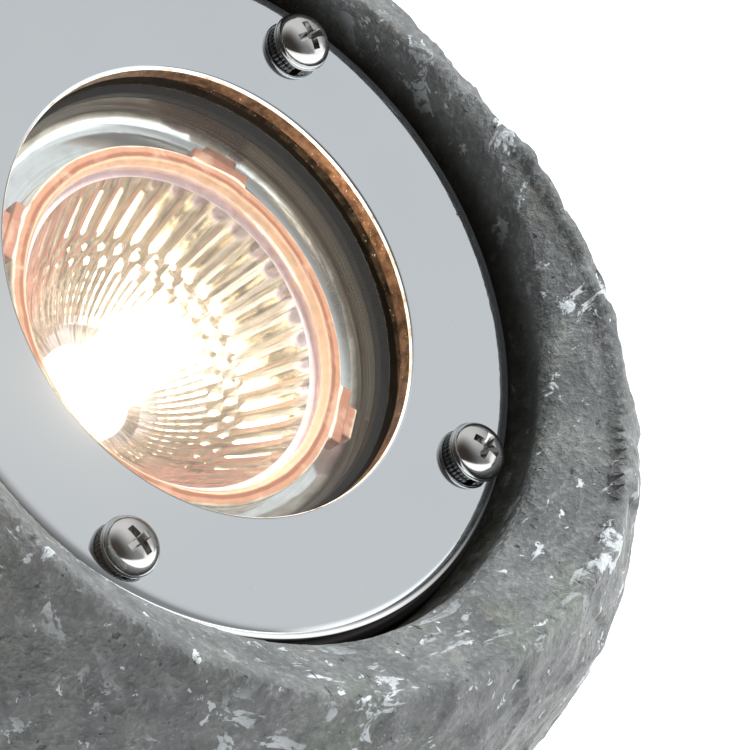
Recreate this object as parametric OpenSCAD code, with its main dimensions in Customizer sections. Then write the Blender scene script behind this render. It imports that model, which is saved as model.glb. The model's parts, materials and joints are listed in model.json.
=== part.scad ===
// Underwater pond light: a cast stone-look body with a tilted halogen lamp behind a screwed bezel.
// Millimetres, +Z up. The origin is the centre of the resting pad's underside; the lamp looks to -Y.
// The lamp stack is drawn in a face frame: +Z leaves the front, and 0 is the bezel's flat front.

/* [Stone body] */
// Radius of the pebble the body is cast from
stone_r = 67.5; // [65:0.5:75]
// Height of the pebble's centre above the ground
stone_centre_z = 48.5; // [46:0.5:54]
// Thickness of the cast wall
stone_wall = 6.5; // [5:0.5:8]
// Radius of the recess's mouth, where its smooth wall ends
mouth_r = 49.5; // [49:0.1:50.5]
// Height of the mouth above the bezel's front
mouth_h = 5; // [4:0.5:6]
// Angle of the dressed funnel around the mouth
funnel_angle = 42; // [38:1:46]

/* [Front] */
// Angle of the lamp above the horizontal
face_tilt = 34; // [25:1:40]
// Distance of the bezel's centre in front of the pebble's centre
face_forward = 22.5; // [20:0.5:26]
// Height of the bezel's centre above the ground
face_z = 74; // [70:0.5:78]
// Centre-line radius of the raised collar around the front
collar_r = 51.5; // [51:0.5:53]
// Half thickness of the collar
collar_round = 6; // [5:0.5:7]

/* [Bezel] */
// Outer radius of the bezel ring
bezel_out_r = 46; // [45.5:0.1:46.5]
// Inner radius of the bezel ring
bezel_in_r = 30.2; // [29.8:0.1:30.5]
// Thickness of the bezel's sheet
bezel_t = 1.2; // [0.8:0.1:1.2]
// Depth of the rolled edges below the bezel's front
bezel_skirt = 2.6; // [2.2:0.1:2.6]
// Rounding of the rolled edges
bezel_round = 1.1; // [0.6:0.1:1.1]
// Radius of the circle that the bezel screws stand on
screw_circle_r = 41; // [40.6:0.1:41.2]

/* [Lens] */
// Radius of the front glass
lens_r = 36.2; // [35.5:0.1:36.2]
// Thickness of the front glass
lens_t = 3.2; // [2.8:0.1:3.2]
// Thickness of the gasket in front of the glass
front_gasket_t = 1.5; // [1.5:0.1:1.8]
// Thickness of the gasket behind the glass
rear_gasket_t = 1.1; // [1:0.1:1.3]

/* [Screws] */
// Radius of the bezel screw's shank
screw_r = 2.0; // [1.9:0.05:2]
// Length of the shank under the head
screw_l = 10; // [9:0.5:11]
// Radius of the pan head
head_r = 4.0; // [3.6:0.1:4]
// Height of the pan head
head_h = 3.0; // [2.6:0.1:3.1]
// Thickness of the spring washer
washer_t = 0.9; // [0.7:0.1:1]

/* [Lamp] */
// Radius of the lamp's front rim
lamp_rim_r = 24.6; // [24.4:0.1:25]
// Depth of the lamp's front rim behind the bezel's front
lamp_depth = 8.3; // [8.1:0.1:8.6]
// Length of the lamp from rim to the end of its neck
lamp_l = 37; // [36:0.5:38]
// Distance the lamp sits below the bezel's centre
lamp_drop = 1.2; // [0:0.1:1.4]
// Turn of the lamp's lugs from the screw positions
lamp_turn = 4; // [0:1:10]
// Spacing of the two lamp pins
pin_gap = 5.33; // [5.33]

/* [Housing and cable] */
// Depth of the housing pot's rear wall behind the bezel's front
pot_depth = 73; // [72:0.5:75]
// Outer radius of the housing's flange
flange_r = 47.2; // [47:0.1:47.4]
// Radius of the supply cable
cable_r = 4.2; // [4:0.1:4.3]
// Radius of the cable's bend down to the ground
cable_bend_r = 30; // [26:1:34]
// Length of cable stub lying on the ground
cable_run = 60; // [30:5:120]

/* [Hidden] */
$fn = 96;

slip = 0.05; // radial clearance of a pin or shank that slides in its hole
gap = 0.2;   // clearance of a part dropped into its pocket
over = 1;    // how far a cut runs past the faces that it opens
screw_count = 4;
screw_angle = 45; // first screw, measured from the face's horizontal

// heights in the face frame, front to back
front_gasket_z = -bezel_t - front_gasket_t;
lens_z = front_gasket_z - lens_t;
ledge_z = lens_z - rear_gasket_t;
flange_top_z = front_gasket_z;
flange_bottom_z = -13;
bond_t = 0.6;
bond_inset = 0.5; // from the flange's edge to the silicone
bond_room = 2.5;  // from the pot's wall to the silicone
seat_z = flange_bottom_z - bond_t;
recess_r = flange_r + 0.6;
funnel_w = 36; // width of the funnel's cut, clear of the pebble's front
front_wall = 7; // stone left behind the seat
pot_room = 1;   // room around the pot in the stone and the ballast
collar_z = -1.5;
shoulder_r = collar_r + collar_round - 0.5; // fills the stone behind the collar
shoulder_grow = 1.5;
shoulder_l = 31;

// fasteners
head_rim = 0.8;     // height of the pan head's upright edge
cross_reach = 0.55; // half length of the cross recess, as a share of the head's radius
cross_depth = 0.6;  // depth of the recess, as a share of the head's height
cross_w = 1;        // width of the recess in a bezel screw; a bracket screw's is half of it
washer_inset = 0.3; // how far the head stands over its washer
split_w = 0.9;
split_angle = 200;

// housing pot
pot_wall = 3;
pot_front_r = 36.2;
pot_rear_r = 27;
ledge_r = pot_front_r - pot_wall; // inner radius of the ledge that carries the cup and the glass
pot_floor_z = -pot_depth + pot_wall;
pot_overlap = 2; // height over which the flange and the pot run into each other
flange_round = 1;
lens_pocket_r = lens_r + 0.4;
insert_r = 2.8;
insert_l = 7;
insert_hole_l = 9;
tip_room = 0.3; // radial room for the screw's tip below the insert
insert_groove = 0.3; // depth of the groove that locks the insert, a fifth of its length wide
rib_count = 8;
rib_t = 2;
rib_rise = 1;      // how far the ribs stand out at the rear of the pot
rib_rise_top = 0.6; // and at their front end
rib_rear = 4;      // height of the ribs' rear end above the pot's rear face
rib_front = 8;     // depth below the flange at which they reach their full height
post_x = 16;
post_r = 3.6;
post_hole_l = 9;

// cup liner
cup_t = 0.6;
cup_r = 29.4;
cup_lip = 5;
cup_floor_z = -12;
cup_round = 3;
cup_hole_r = 24.2;

// lamp
rim_t = 3;
rim_edge = 0.4; // bevel of the rim's edges
glass_t = 1.5;
neck_r = 8.2;
neck_l = 14;
cover_r = 22;
cover_t = 1.2;
cover_inset = 1.1;
lug_w = 8.4;
lug_r = 26;
lug_t = 2.7;
tab_w = 4.8;
tab_r = 27.6;
tab_t = 1.7;
tab_lift = 0.5; // height of the tab's back above the lug's back
capsule_r = 5;
capsule_t = 0.8;
capsule_l = 21;
leg_x = 2.2; // the filament: two legs with a coil across them
leg_r = 0.25;
leg_l = 13;
coil_r = 0.8;
coil_core_r = 0.35;
coil_turns = 6;
coil_pitch = 0.7;
pin_r = 0.75;
pin_l = 7;
pin_in = 5; // length of a pin inside the cement
lamp_z = -lamp_depth;
neck_end_z = lamp_z - lamp_l;
bowl_depth = lamp_l - neck_l; // rim to the top of the neck
cement_l = 12;
cement_z = neck_end_z + cement_l; // front of the cement, where the capsule stands
bowl_steps = 10;

// lampholder
holder_size = [24, 15, 9];
holder_z = neck_end_z - gap; // front face of the ceramic block
contact_r = 1.5;
contact_l = 6;
contact_z = holder_z - 2;
bracket_t = 1;
bracket_z = holder_z - holder_size[2] - bracket_t;
bracket_size = [42, 17];
bracket_ear = [12, 5]; // width and height of the ears that grip the ceramic
wire_slot = [10, 6];
post_top_z = bracket_z;
bracket_screw_r = 1.4;
bracket_head_r = 2.8;
bracket_head_h = 1.8;
bracket_screw_l = 7; // reach of the screw into the post
wire_r = 1.0;
crimp_r = 1.7;
crimp_l = 6;
crimp_z = bracket_z - 2.5;

// gland and cable
gland_bore_r = 6;
gland_shank_r = 7;
gland_tail_r = 6.8; // the threaded tail that carries the nut
gland_play = 0.3;   // radial play of the cable in the gland's front wall
gland_flange_r = 9.5;
gland_flange_t = 4;
gland_l = 12;
seal_l = 6;
nut_r = 9;
nut_l = 11;
nut_cap = 2;
core_r = 1.0;
core_slip = 0.02;
core_in = 8; // length of core modelled inside each end of the jacket
strand_r = 0.5;
strip_l = 6;
cable_start_z = -pot_depth + 2.5; // jacket ends just inside the pot
band_r = cable_r + 0.1;
band_l = 1.6;
outlet_r = 7;
grommet_lip = 1.6;
spot_depth = 1;  // depth of the flat around the cable hole
gland_room = 18; // length of the hollow for the gland behind the pot
cable_ground_z = cable_r;

// cable path in the row's YZ plane: down along the lamp axis, round the bend, along the ground
face_y = -face_forward;
bend_drop = cable_bend_r * (1 - cos(face_tilt));
cable_straight = (face_z - cable_ground_z - bend_drop) / sin(face_tilt); // from the bezel's centre
bend_start_y = face_y + cable_straight * cos(face_tilt);
bend_end_y = bend_start_y + cable_bend_r * sin(face_tilt);

// depth along the lamp axis at which the cable leaves the pebble
face_up = face_z - stone_centre_z;
centre_depth = face_forward * cos(face_tilt) + face_up * sin(face_tilt);
axis_miss_sq = face_forward * face_forward + face_up * face_up - centre_depth * centre_depth;
cable_exit = centre_depth + sqrt(stone_r * stone_r - axis_miss_sq);
outlet_z = cable_exit + outlet_r; // clear of the stone behind the cable hole

// base
pad_t = 2.5;
plate_t = 3.5;
plate_r = 44.8;
glue_r = 40.8; // outer radius of the glue groove in the plate
glue_w = 2;
glue_depth = 1;
pad_r = 46;
flood_r = 3;
flood_circle_r = 30;
slug_r = 36;
slug_t = 6;

module face() {
    translate([0, face_y, face_z]) rotate([90 - face_tilt, 0, 0]) children();
}

module lamp_axis() {
    face() translate([0, -lamp_drop, 0]) children();
}

module at_screw(n) {
    face() rotate([0, 0, screw_angle + n * 360 / screw_count]) translate([screw_circle_r, 0, 0]) children();
}

module each_screw() {
    for (n = [0 : screw_count - 1]) at_screw(n) children();
}

module tube(r_out, r_in, h) {
    difference() {
        cylinder(r = r_out, h = h);
        translate([0, 0, -over]) cylinder(r = r_in, h = h + 2 * over);
    }
}

// a 2D block with its two top corners rounded
module rounded_top(x0, x1, y0, y1, r) {
    translate([x0, y0]) square([x1 - x0, y1 - y0 - r]);
    translate([x0 + r, y0]) square([x1 - x0 - 2 * r, y1 - y0]);
    translate([x0 + r, y1 - r]) circle(r = r);
    translate([x1 - r, y1 - r]) circle(r = r);
}

// ---------------------------------------------------------------- stone body

module pebble(r) {
    translate([0, 0, stone_centre_z]) rotate([90 - face_tilt, 0, 0]) sphere(r = r);
}

// the round hole that takes the housing, and the funnel around its mouth
module recess() {
    funnel_top = mouth_h + funnel_w * tan(funnel_angle);
    face() {
        rotate_extrude() polygon([
            [0, seat_z], [recess_r, seat_z], [recess_r, flange_top_z],
            [mouth_r, mouth_h], [mouth_r + funnel_w, funnel_top], [0, funnel_top]
        ]);
        translate([0, 0, -pot_depth]) cylinder(r = pot_front_r + pot_room, h = pot_depth);
    }
}

// the hollow behind the front wall, and the rebate for the base plate
module shell_hollow() {
    intersection() {
        pebble(stone_r - stone_wall);
        face() translate([-stone_r, -stone_r, seat_z - front_wall - 2 * stone_r]) cube(2 * stone_r);
        translate([-stone_r, -stone_r, pad_t + plate_t - over]) cube(2 * stone_r);
    }
    translate([0, 0, pad_t - over]) cylinder(r = plate_r + gap, h = plate_t + over);
}

// room for the gland, and the hole where the cable leaves
module cable_outlet() {
    face() {
        translate([0, 0, -pot_depth - gland_room])
            cylinder(r = gland_flange_r + pot_room, h = gland_room + 2 * over);
        translate([0, 0, -outlet_z]) cylinder(r = outlet_r, h = outlet_z - pot_depth);
        translate([0, 0, -outlet_z])
            cylinder(r = outlet_r + grommet_lip + gap, h = outlet_z - cable_exit + spot_depth);
    }
}

module stone_shell() {
    color("slategray") difference() {
        union() {
            intersection() {
                pebble(stone_r);
                translate([-stone_r, -stone_r, pad_t]) cube(2 * stone_r);
            }
            face() rotate_extrude() translate([collar_r, collar_z]) circle(r = collar_round);
            face() translate([0, 0, collar_z - shoulder_l])
                cylinder(r1 = shoulder_r + shoulder_grow, r2 = shoulder_r, h = shoulder_l);
        }
        recess();
        shell_hollow();
        cable_outlet();
    }
}

module flood_holes(h) {
    for (a = [45 : 90 : 315]) rotate([0, 0, a])
        translate([flood_circle_r, 0, -over]) cylinder(r = flood_r, h = h);
}

module base_plate() {
    color("dimgray") translate([0, 0, pad_t]) difference() {
        cylinder(r = plate_r, h = plate_t);
        flood_holes(plate_t + 2 * over);
        translate([0, 0, plate_t - glue_depth]) tube(glue_r, glue_r - glue_w, glue_depth + over);
    }
}

module resting_pad() {
    color("black") difference() {
        cylinder(r = pad_r, h = pad_t);
        flood_holes(pad_t + 2 * over);
    }
}

module ballast_slug() {
    color("tan") difference() {
        translate([0, 0, pad_t + plate_t]) cylinder(r = slug_r, h = slug_t);
        translate([0, 0, pad_t + plate_t]) flood_holes(slug_t + 2 * over);
        face() translate([0, 0, -pot_depth - gap]) cylinder(r = pot_rear_r + rib_t + pot_room, h = pot_depth);
        face() translate([0, 0, -cable_straight]) cylinder(r = gland_flange_r + pot_room, h = cable_straight);
    }
}

module cable_grommet() {
    sleeve_l = cable_exit - spot_depth - pot_depth - gland_room - gap;
    color("black") face() translate([0, 0, -cable_exit + spot_depth]) difference() {
        union() {
            cylinder(r = outlet_r, h = sleeve_l);
            translate([0, 0, -grommet_lip]) cylinder(r = outlet_r + grommet_lip, h = grommet_lip);
        }
        translate([0, 0, -grommet_lip - over])
            cylinder(r = cable_r + slip, h = grommet_lip + sleeve_l + 2 * over);
    }
}

// ---------------------------------------------------------------- housing

module pot_profile() {
    difference() {
        union() {
            rounded_top(ledge_r, flange_r, flange_bottom_z, flange_top_z, flange_round);
            polygon([
                [0, -pot_depth], [pot_rear_r, -pot_depth],
                [pot_front_r, flange_bottom_z], [pot_front_r, flange_bottom_z + pot_overlap],
                [0, flange_bottom_z + pot_overlap]
            ]);
        }
        translate([0, ledge_z]) square([lens_pocket_r, over - ledge_z]);
        translate([0, ledge_z - cup_t]) square([cup_r + cup_lip + gap, over - ledge_z]);
        polygon([
            [0, pot_floor_z], [pot_rear_r - pot_wall, pot_floor_z],
            [ledge_r, flange_bottom_z], [ledge_r, 0], [0, 0]
        ]);
    }
}

module each_post() {
    for (s = [-1, 1]) lamp_axis() translate([s * post_x, 0, 0]) children();
}

module pot_ribs() {
    for (n = [0 : rib_count - 1]) rotate([0, 0, (n + 0.5) * 360 / rib_count])
        translate([0, rib_t / 2, 0]) rotate([90, 0, 0]) linear_extrude(height = rib_t)
            polygon([
                [pot_rear_r - rib_rise, rib_rear - pot_depth], [pot_rear_r + rib_rise, rib_rear - pot_depth],
                [pot_front_r + rib_rise_top, flange_bottom_z - rib_front],
                [pot_front_r + rib_rise_top, flange_bottom_z + over],
                [pot_front_r - rib_rise, flange_bottom_z + over]
            ]);
}

module lamp_housing() {
    color([0.12, 0.12, 0.12]) difference() {
        union() {
            face() rotate_extrude() pot_profile();
            face() pot_ribs();
            each_post() translate([0, 0, pot_floor_z - over])
                cylinder(r = post_r, h = post_top_z - pot_floor_z + over);
        }
        each_screw() translate([0, 0, flange_top_z - insert_l])
            cylinder(r = insert_r, h = insert_l + over);
        each_screw() translate([0, 0, flange_top_z - insert_hole_l])
            cylinder(r = screw_r + tip_room, h = insert_hole_l);
        each_post() translate([0, 0, post_top_z - post_hole_l])
            cylinder(r = bracket_screw_r + slip, h = post_hole_l + over);
        face() translate([0, 0, -pot_depth - over]) cylinder(r = gland_shank_r, h = pot_wall + 2 * over);
    }
}

module housing_bond() {
    color("whitesmoke") face() translate([0, 0, seat_z])
        tube(flange_r - bond_inset, pot_front_r + bond_room, bond_t);
}

module thread_inserts() {
    color("goldenrod") each_screw() translate([0, 0, flange_top_z - insert_l]) difference() {
        cylinder(r = insert_r, h = insert_l);
        translate([0, 0, -over]) cylinder(r = screw_r + slip, h = insert_l + 2 * over);
        translate([0, 0, insert_l * 2 / 5]) tube(insert_r + over, insert_r - insert_groove, insert_l / 5);
    }
}

module cup_profile(grow) {
    translate([0, cup_floor_z - grow]) square([cup_r - cup_round, -cup_floor_z]);
    translate([0, cup_floor_z + cup_round]) square([cup_r + grow, -cup_floor_z]);
    translate([cup_r - cup_round, cup_floor_z + cup_round]) circle(r = cup_round + grow);
}

module cup_liner() {
    color("silver") difference() {
        face() rotate_extrude() difference() {
            union() {
                intersection() {
                    cup_profile(cup_t);
                    translate([0, cup_floor_z - over]) square([cup_r + over, ledge_z - cup_floor_z + over]);
                }
                translate([cup_r - over, ledge_z - cup_t]) square([cup_lip + over, cup_t]);
            }
            cup_profile(0);
        }
        lamp_axis() translate([0, 0, cup_floor_z - 2 * over]) cylinder(r = cup_hole_r, h = 4 * over);
    }
}

// ---------------------------------------------------------------- cable entry

module gland_body() {
    shank_z = -pot_depth - gland_flange_t;
    color([0.2, 0.2, 0.2]) face() difference() {
        union() {
            translate([0, 0, shank_z]) cylinder(r = gland_flange_r, h = gland_flange_t, $fn = 6);
            translate([0, 0, shank_z]) cylinder(r = gland_shank_r, h = gland_flange_t + pot_wall);
            translate([0, 0, -pot_depth - gland_l]) cylinder(r = gland_tail_r, h = gland_l);
        }
        translate([0, 0, shank_z - gland_l]) cylinder(r = gland_bore_r, h = gland_l);
        translate([0, 0, shank_z - gland_l])
            cylinder(r = cable_r + gland_play, h = gland_l + gland_flange_t + pot_wall + over);
    }
}

module gland_seal() {
    color("darkslategray") face()
        translate([0, 0, -pot_depth - gland_flange_t - seal_l - gap])
            tube(gland_bore_r - slip, cable_r + slip, seal_l);
}

module gland_nut() {
    nut_z = -pot_depth - gland_l - nut_cap;
    nut_flat_r = nut_r * cos(30); // half the width across the flats
    color([0.25, 0.25, 0.25]) face() translate([0, 0, nut_z - gap]) difference() {
        union() {
            cylinder(r = nut_r, h = nut_l - nut_cap, $fn = 6);
            translate([0, 0, -nut_cap]) cylinder(r1 = cable_r + nut_cap, r2 = nut_flat_r, h = nut_cap);
        }
        translate([0, 0, nut_cap]) cylinder(r = gland_tail_r + slip, h = nut_l);
        translate([0, 0, -nut_cap - over]) cylinder(r = cable_r + gap, h = nut_l);
    }
}

// places a piece at the far end of the cable, +Z out of the cut
module cable_end() {
    translate([0, bend_end_y + cable_run, cable_ground_z]) rotate([-90, 0, 0]) children();
}

// places a piece at both ends of both cores, +Z out of the jacket
module each_core() {
    for (s = [-1, 1]) {
        face() translate([s * pin_gap / 2, 0, cable_start_z]) children();
        cable_end() translate([s * pin_gap / 2, 0, 0]) children();
    }
}

// straight down the lamp axis, round the bend and along the ground; a thin band covers each change
module supply_cable() {
    band_turn = band_l / 4 / cable_bend_r * 180 / PI; // the bend stops this far short at each end
    color([0.08, 0.08, 0.08]) difference() {
        union() {
            face() translate([0, 0, -cable_straight + band_l / 4])
                cylinder(r = cable_r, h = cable_straight + cable_start_z - band_l / 4);
            face() translate([0, 0, -cable_straight - band_l / 2]) cylinder(r = band_r, h = band_l);
            translate([0, bend_end_y, cable_ground_z + cable_bend_r]) rotate([0, 90, 0])
                rotate([0, 0, band_turn - face_tilt])
                    rotate_extrude(angle = face_tilt - 2 * band_turn)
                        translate([cable_bend_r, 0]) circle(r = cable_r);
            translate([0, bend_end_y - band_l / 2, cable_ground_z]) rotate([-90, 0, 0])
                cylinder(r = band_r, h = band_l);
            translate([0, bend_end_y + band_l / 4, cable_ground_z]) rotate([-90, 0, 0])
                cylinder(r = cable_r, h = cable_run - band_l / 4);
        }
        each_core() translate([0, 0, -core_in]) cylinder(r = core_r + core_slip, h = core_in + over);
    }
}

module cable_cores() {
    inner_l = crimp_z - crimp_l / 2 - cable_start_z; // reaches half-way into the crimp sleeve
    color("peru") {
        for (s = [-1, 1]) face() translate([s * pin_gap / 2, 0, cable_start_z - core_in])
            tube(core_r, strand_r + core_slip, core_in + inner_l);
        for (s = [-1, 1]) cable_end() translate([s * pin_gap / 2, 0, -core_in])
            tube(core_r, strand_r + core_slip, core_in + strip_l / 2);
    }
}

module core_conductors() {
    inner_l = crimp_z - crimp_l / 2 - cable_start_z;
    color("chocolate") {
        for (s = [-1, 1]) face() translate([s * pin_gap / 2, 0, cable_start_z - core_in])
            cylinder(r = strand_r, h = core_in + inner_l);
        for (s = [-1, 1]) cable_end() translate([s * pin_gap / 2, 0, -core_in])
            cylinder(r = strand_r, h = core_in + strip_l);
    }
}

// ---------------------------------------------------------------- lampholder

module each_pin() {
    for (s = [-1, 1]) lamp_axis() translate([s * pin_gap / 2, 0, 0]) children();
}

module lampholder() {
    color("ivory") difference() {
        lamp_axis() translate([-holder_size[0] / 2, -holder_size[1] / 2, holder_z - holder_size[2]])
            cube(holder_size);
        each_pin() translate([0, 0, holder_z - holder_size[2] - over])
            cylinder(r = pin_r + gap, h = holder_size[2] + 2 * over);
        each_pin() translate([0, 0, holder_z - holder_size[2] - over])
            cylinder(r = contact_r + slip, h = contact_z - holder_z + holder_size[2] + over);
    }
}

module holder_contacts() {
    color("gold") each_pin() translate([0, 0, contact_z - contact_l])
        tube(contact_r, pin_r + slip, contact_l);
}

module holder_bracket() {
    color("lightgray") difference() {
        lamp_axis() translate([0, 0, bracket_z]) {
            translate([-bracket_size[0] / 2, -bracket_size[1] / 2, 0])
                cube([bracket_size[0], bracket_size[1], bracket_t]);
            for (y = [-bracket_size[1] / 2, bracket_size[1] / 2 - bracket_t])
                translate([-bracket_ear[0] / 2, y, 0]) cube([bracket_ear[0], bracket_t, bracket_ear[1]]);
        }
        lamp_axis() translate([-wire_slot[0] / 2, -wire_slot[1] / 2, bracket_z - over])
            cube([wire_slot[0], wire_slot[1], bracket_t + 2 * over]);
        each_post() translate([0, 0, bracket_z - over])
            cylinder(r = bracket_screw_r + gap, h = bracket_t + 2 * over);
    }
}

module bracket_screws() {
    shank_l = bracket_screw_l + bracket_t;
    color("lightsteelblue") each_post() translate([0, 0, bracket_z + bracket_t]) difference() {
        union() {
            cylinder(r = bracket_head_r, h = bracket_head_h);
            translate([0, 0, -shank_l]) cylinder(r = bracket_screw_r, h = shank_l + bracket_head_h / 4);
        }
        cross_slot(bracket_head_r * cross_reach, cross_w / 2, bracket_head_h, bracket_head_h * cross_depth);
    }
}

module lead_wires() {
    color("white") each_pin() translate([0, 0, crimp_z - crimp_l / 3])
        cylinder(r = wire_r, h = contact_z - contact_l - crimp_z + crimp_l / 3);
}

module crimp_sleeves() {
    color("silver") for (s = [-1, 1]) face() translate([s * pin_gap / 2, -lamp_drop / 2, crimp_z - crimp_l])
        difference() {
            cylinder(r = crimp_r + lamp_drop / 2, h = crimp_l);
            translate([0, lamp_drop / 2, -over]) cylinder(r = core_r + core_slip, h = crimp_l / 2 + over);
            translate([0, -lamp_drop / 2, crimp_l / 2]) cylinder(r = wire_r + core_slip, h = crimp_l);
        }
}

// ---------------------------------------------------------------- lamp

// radius of the reflector's inner wall at a depth below its rim
function bowl_r(d) = neck_r - glass_t + (cover_r - neck_r + glass_t) * sqrt(1 - d / bowl_depth);
function bowl_depth_at(n) = rim_t + (bowl_depth - rim_t) * n / bowl_steps;

module bowl_profile() {
    outer = [for (n = [0 : bowl_steps]) let (d = bowl_depth_at(n)) [bowl_r(d) + glass_t, -d]];
    inner = [for (n = [bowl_steps : -1 : 0]) let (d = bowl_depth_at(n)) [bowl_r(d), -d]];
    polygon(concat(
        outer, [[neck_r, -lamp_l], [neck_r - glass_t, -lamp_l]], inner,
        [[cover_r, -cover_inset - cover_t], [cover_r + slip, -cover_inset - cover_t],
         [cover_r + slip, rim_edge - cover_inset], [cover_r + 2 * rim_edge, 0],
         [lamp_rim_r - rim_edge, 0], [lamp_rim_r, -rim_edge], [lamp_rim_r, -rim_t]]
    ));
}

module lamp_lug() {
    root_r = lamp_rim_r - over; // inside the rim
    translate([root_r, -lug_w / 2, -lug_t]) cube([lug_r - root_r, lug_w, lug_t]);
    translate([root_r, -tab_w / 2, tab_lift - lug_t]) cube([tab_r - root_r, tab_w, tab_t]);
}

module lamp_reflector() {
    color("lightyellow", 0.7) lamp_axis() translate([0, 0, lamp_z]) union() {
        rotate_extrude() bowl_profile();
        for (a = [0 : 90 : 270]) rotate([0, 0, screw_angle + lamp_turn + a]) lamp_lug();
    }
}

module lamp_cover_glass() {
    color("lavender", 0.4) lamp_axis() translate([0, 0, lamp_z - cover_inset - cover_t])
        cylinder(r = cover_r, h = cover_t);
}

module halogen_capsule() {
    tip = capsule_l - capsule_r;
    color("white", 0.5) lamp_axis() translate([0, 0, cement_z]) difference() {
        union() {
            cylinder(r = capsule_r, h = tip);
            translate([0, 0, tip]) sphere(r = capsule_r);
        }
        translate([0, 0, -over]) cylinder(r = capsule_r - capsule_t, h = tip + over);
        translate([0, 0, tip]) sphere(r = capsule_r - capsule_t);
    }
}

module filament() {
    color("orange") lamp_axis() translate([0, 0, cement_z]) {
        for (s = [-1, 1]) translate([s * leg_x, 0, 0]) cylinder(r = leg_r, h = leg_l);
        translate([-leg_x, 0, leg_l]) rotate([0, 90, 0]) cylinder(r = coil_core_r, h = 2 * leg_x);
        for (n = [0 : coil_turns - 1])
            translate([(n - (coil_turns - 1) / 2) * coil_pitch, 0, leg_l]) rotate([0, 90, 0])
                rotate_extrude() translate([coil_r - leg_r, 0]) circle(r = leg_r);
    }
}

module lamp_cement() {
    color("linen") difference() {
        lamp_axis() translate([0, 0, neck_end_z]) cylinder(r = neck_r - glass_t - slip, h = cement_l);
        each_pin() translate([0, 0, neck_end_z - over]) cylinder(r = pin_r + slip, h = pin_in + 2 * over);
    }
}

module lamp_pins() {
    color("silver") each_pin() translate([0, 0, neck_end_z - pin_l]) cylinder(r = pin_r, h = pin_l + pin_in);
}

// ---------------------------------------------------------------- lens and bezel

module rear_gasket() {
    color("black") face() translate([0, 0, ledge_z]) tube(lens_pocket_r - gap, cup_r, rear_gasket_t);
}

module lens_glass() {
    chamfer = 0.4;
    color("lightcyan", 0.35) face() rotate_extrude() polygon([
        [0, lens_z], [lens_r - chamfer, lens_z], [lens_r, lens_z + chamfer],
        [lens_r, front_gasket_z - chamfer], [lens_r - chamfer, front_gasket_z], [0, front_gasket_z]
    ]);
}

module front_gasket() {
    color([0.1, 0.1, 0.1]) difference() {
        face() translate([0, 0, front_gasket_z])
            tube(bezel_out_r - bezel_t - gap, bezel_in_r + bezel_t + gap, front_gasket_t);
        each_screw() translate([0, 0, front_gasket_z - over])
            cylinder(r = screw_r + gap, h = front_gasket_t + 2 * over);
    }
}

module bezel_ring() {
    color("gainsboro") difference() {
        face() rotate_extrude() difference() {
            rounded_top(bezel_in_r, bezel_out_r, -bezel_skirt, 0, bezel_round);
            translate([bezel_in_r + bezel_t, -bezel_skirt - over])
                square([bezel_out_r - bezel_in_r - 2 * bezel_t, bezel_skirt + over - bezel_t]);
        }
        each_screw() translate([0, 0, -bezel_skirt]) cylinder(r = screw_r + gap, h = bezel_skirt + over);
    }
}

// ---------------------------------------------------------------- fasteners

module cross_slot(arm, width, top_z, depth) {
    for (a = [0, 90]) rotate([0, 0, a])
        translate([-arm, -width / 2, top_z - depth]) cube([2 * arm, width, depth + over]);
}

module bezel_screw(n) {
    dome_h = head_h - head_rim;
    dome_r = (head_r * head_r + dome_h * dome_h) / (2 * dome_h);
    color("lightsteelblue") at_screw(n) translate([0, 0, washer_t]) difference() {
        union() {
            intersection() {
                cylinder(r = head_r, h = head_h + over);
                translate([0, 0, head_h - dome_r]) sphere(r = dome_r);
            }
            translate([0, 0, -screw_l]) cylinder(r = screw_r, h = screw_l + head_rim / 2);
        }
        cross_slot(head_r * cross_reach, cross_w, head_h, head_h * cross_depth);
    }
}

module spring_washer(n) {
    color("darkgray") at_screw(n) difference() {
        tube(head_r - washer_inset, screw_r + gap, washer_t);
        rotate([0, 0, split_angle]) translate([0, -split_w / 2, -over])
            cube([head_r, split_w, washer_t + 2 * over]);
    }
}

stone_shell();
base_plate();
resting_pad();
ballast_slug();
cable_grommet();
lamp_housing();
housing_bond();
thread_inserts();
cup_liner();
gland_body();
gland_seal();
gland_nut();
supply_cable();
cable_cores();
core_conductors();
holder_bracket();
bracket_screws();
lampholder();
holder_contacts();
lead_wires();
crimp_sleeves();
lamp_reflector();
lamp_cover_glass();
halogen_capsule();
filament();
lamp_cement();
lamp_pins();
rear_gasket();
lens_glass();
front_gasket();
bezel_ring();
bezel_screw(0);  // bezel_screw_1
bezel_screw(1);  // bezel_screw_2
bezel_screw(2);  // bezel_screw_3
bezel_screw(3);  // bezel_screw_4
spring_washer(0);  // spring_washer_1
spring_washer(1);  // spring_washer_2
spring_washer(2);  // spring_washer_3
spring_washer(3);  // spring_washer_4
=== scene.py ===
"""Underwater pond light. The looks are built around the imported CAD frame, in metres.

Pieces of the lamp stack are drawn in the face frame: +Z leaves the front of the light, +Y points up the
face, and 0 is the flat front of the bezel. FACE places them in the shared frame.
"""

import json
import math

import bmesh
import bpy
from mathutils import Matrix, Vector, noise

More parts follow.
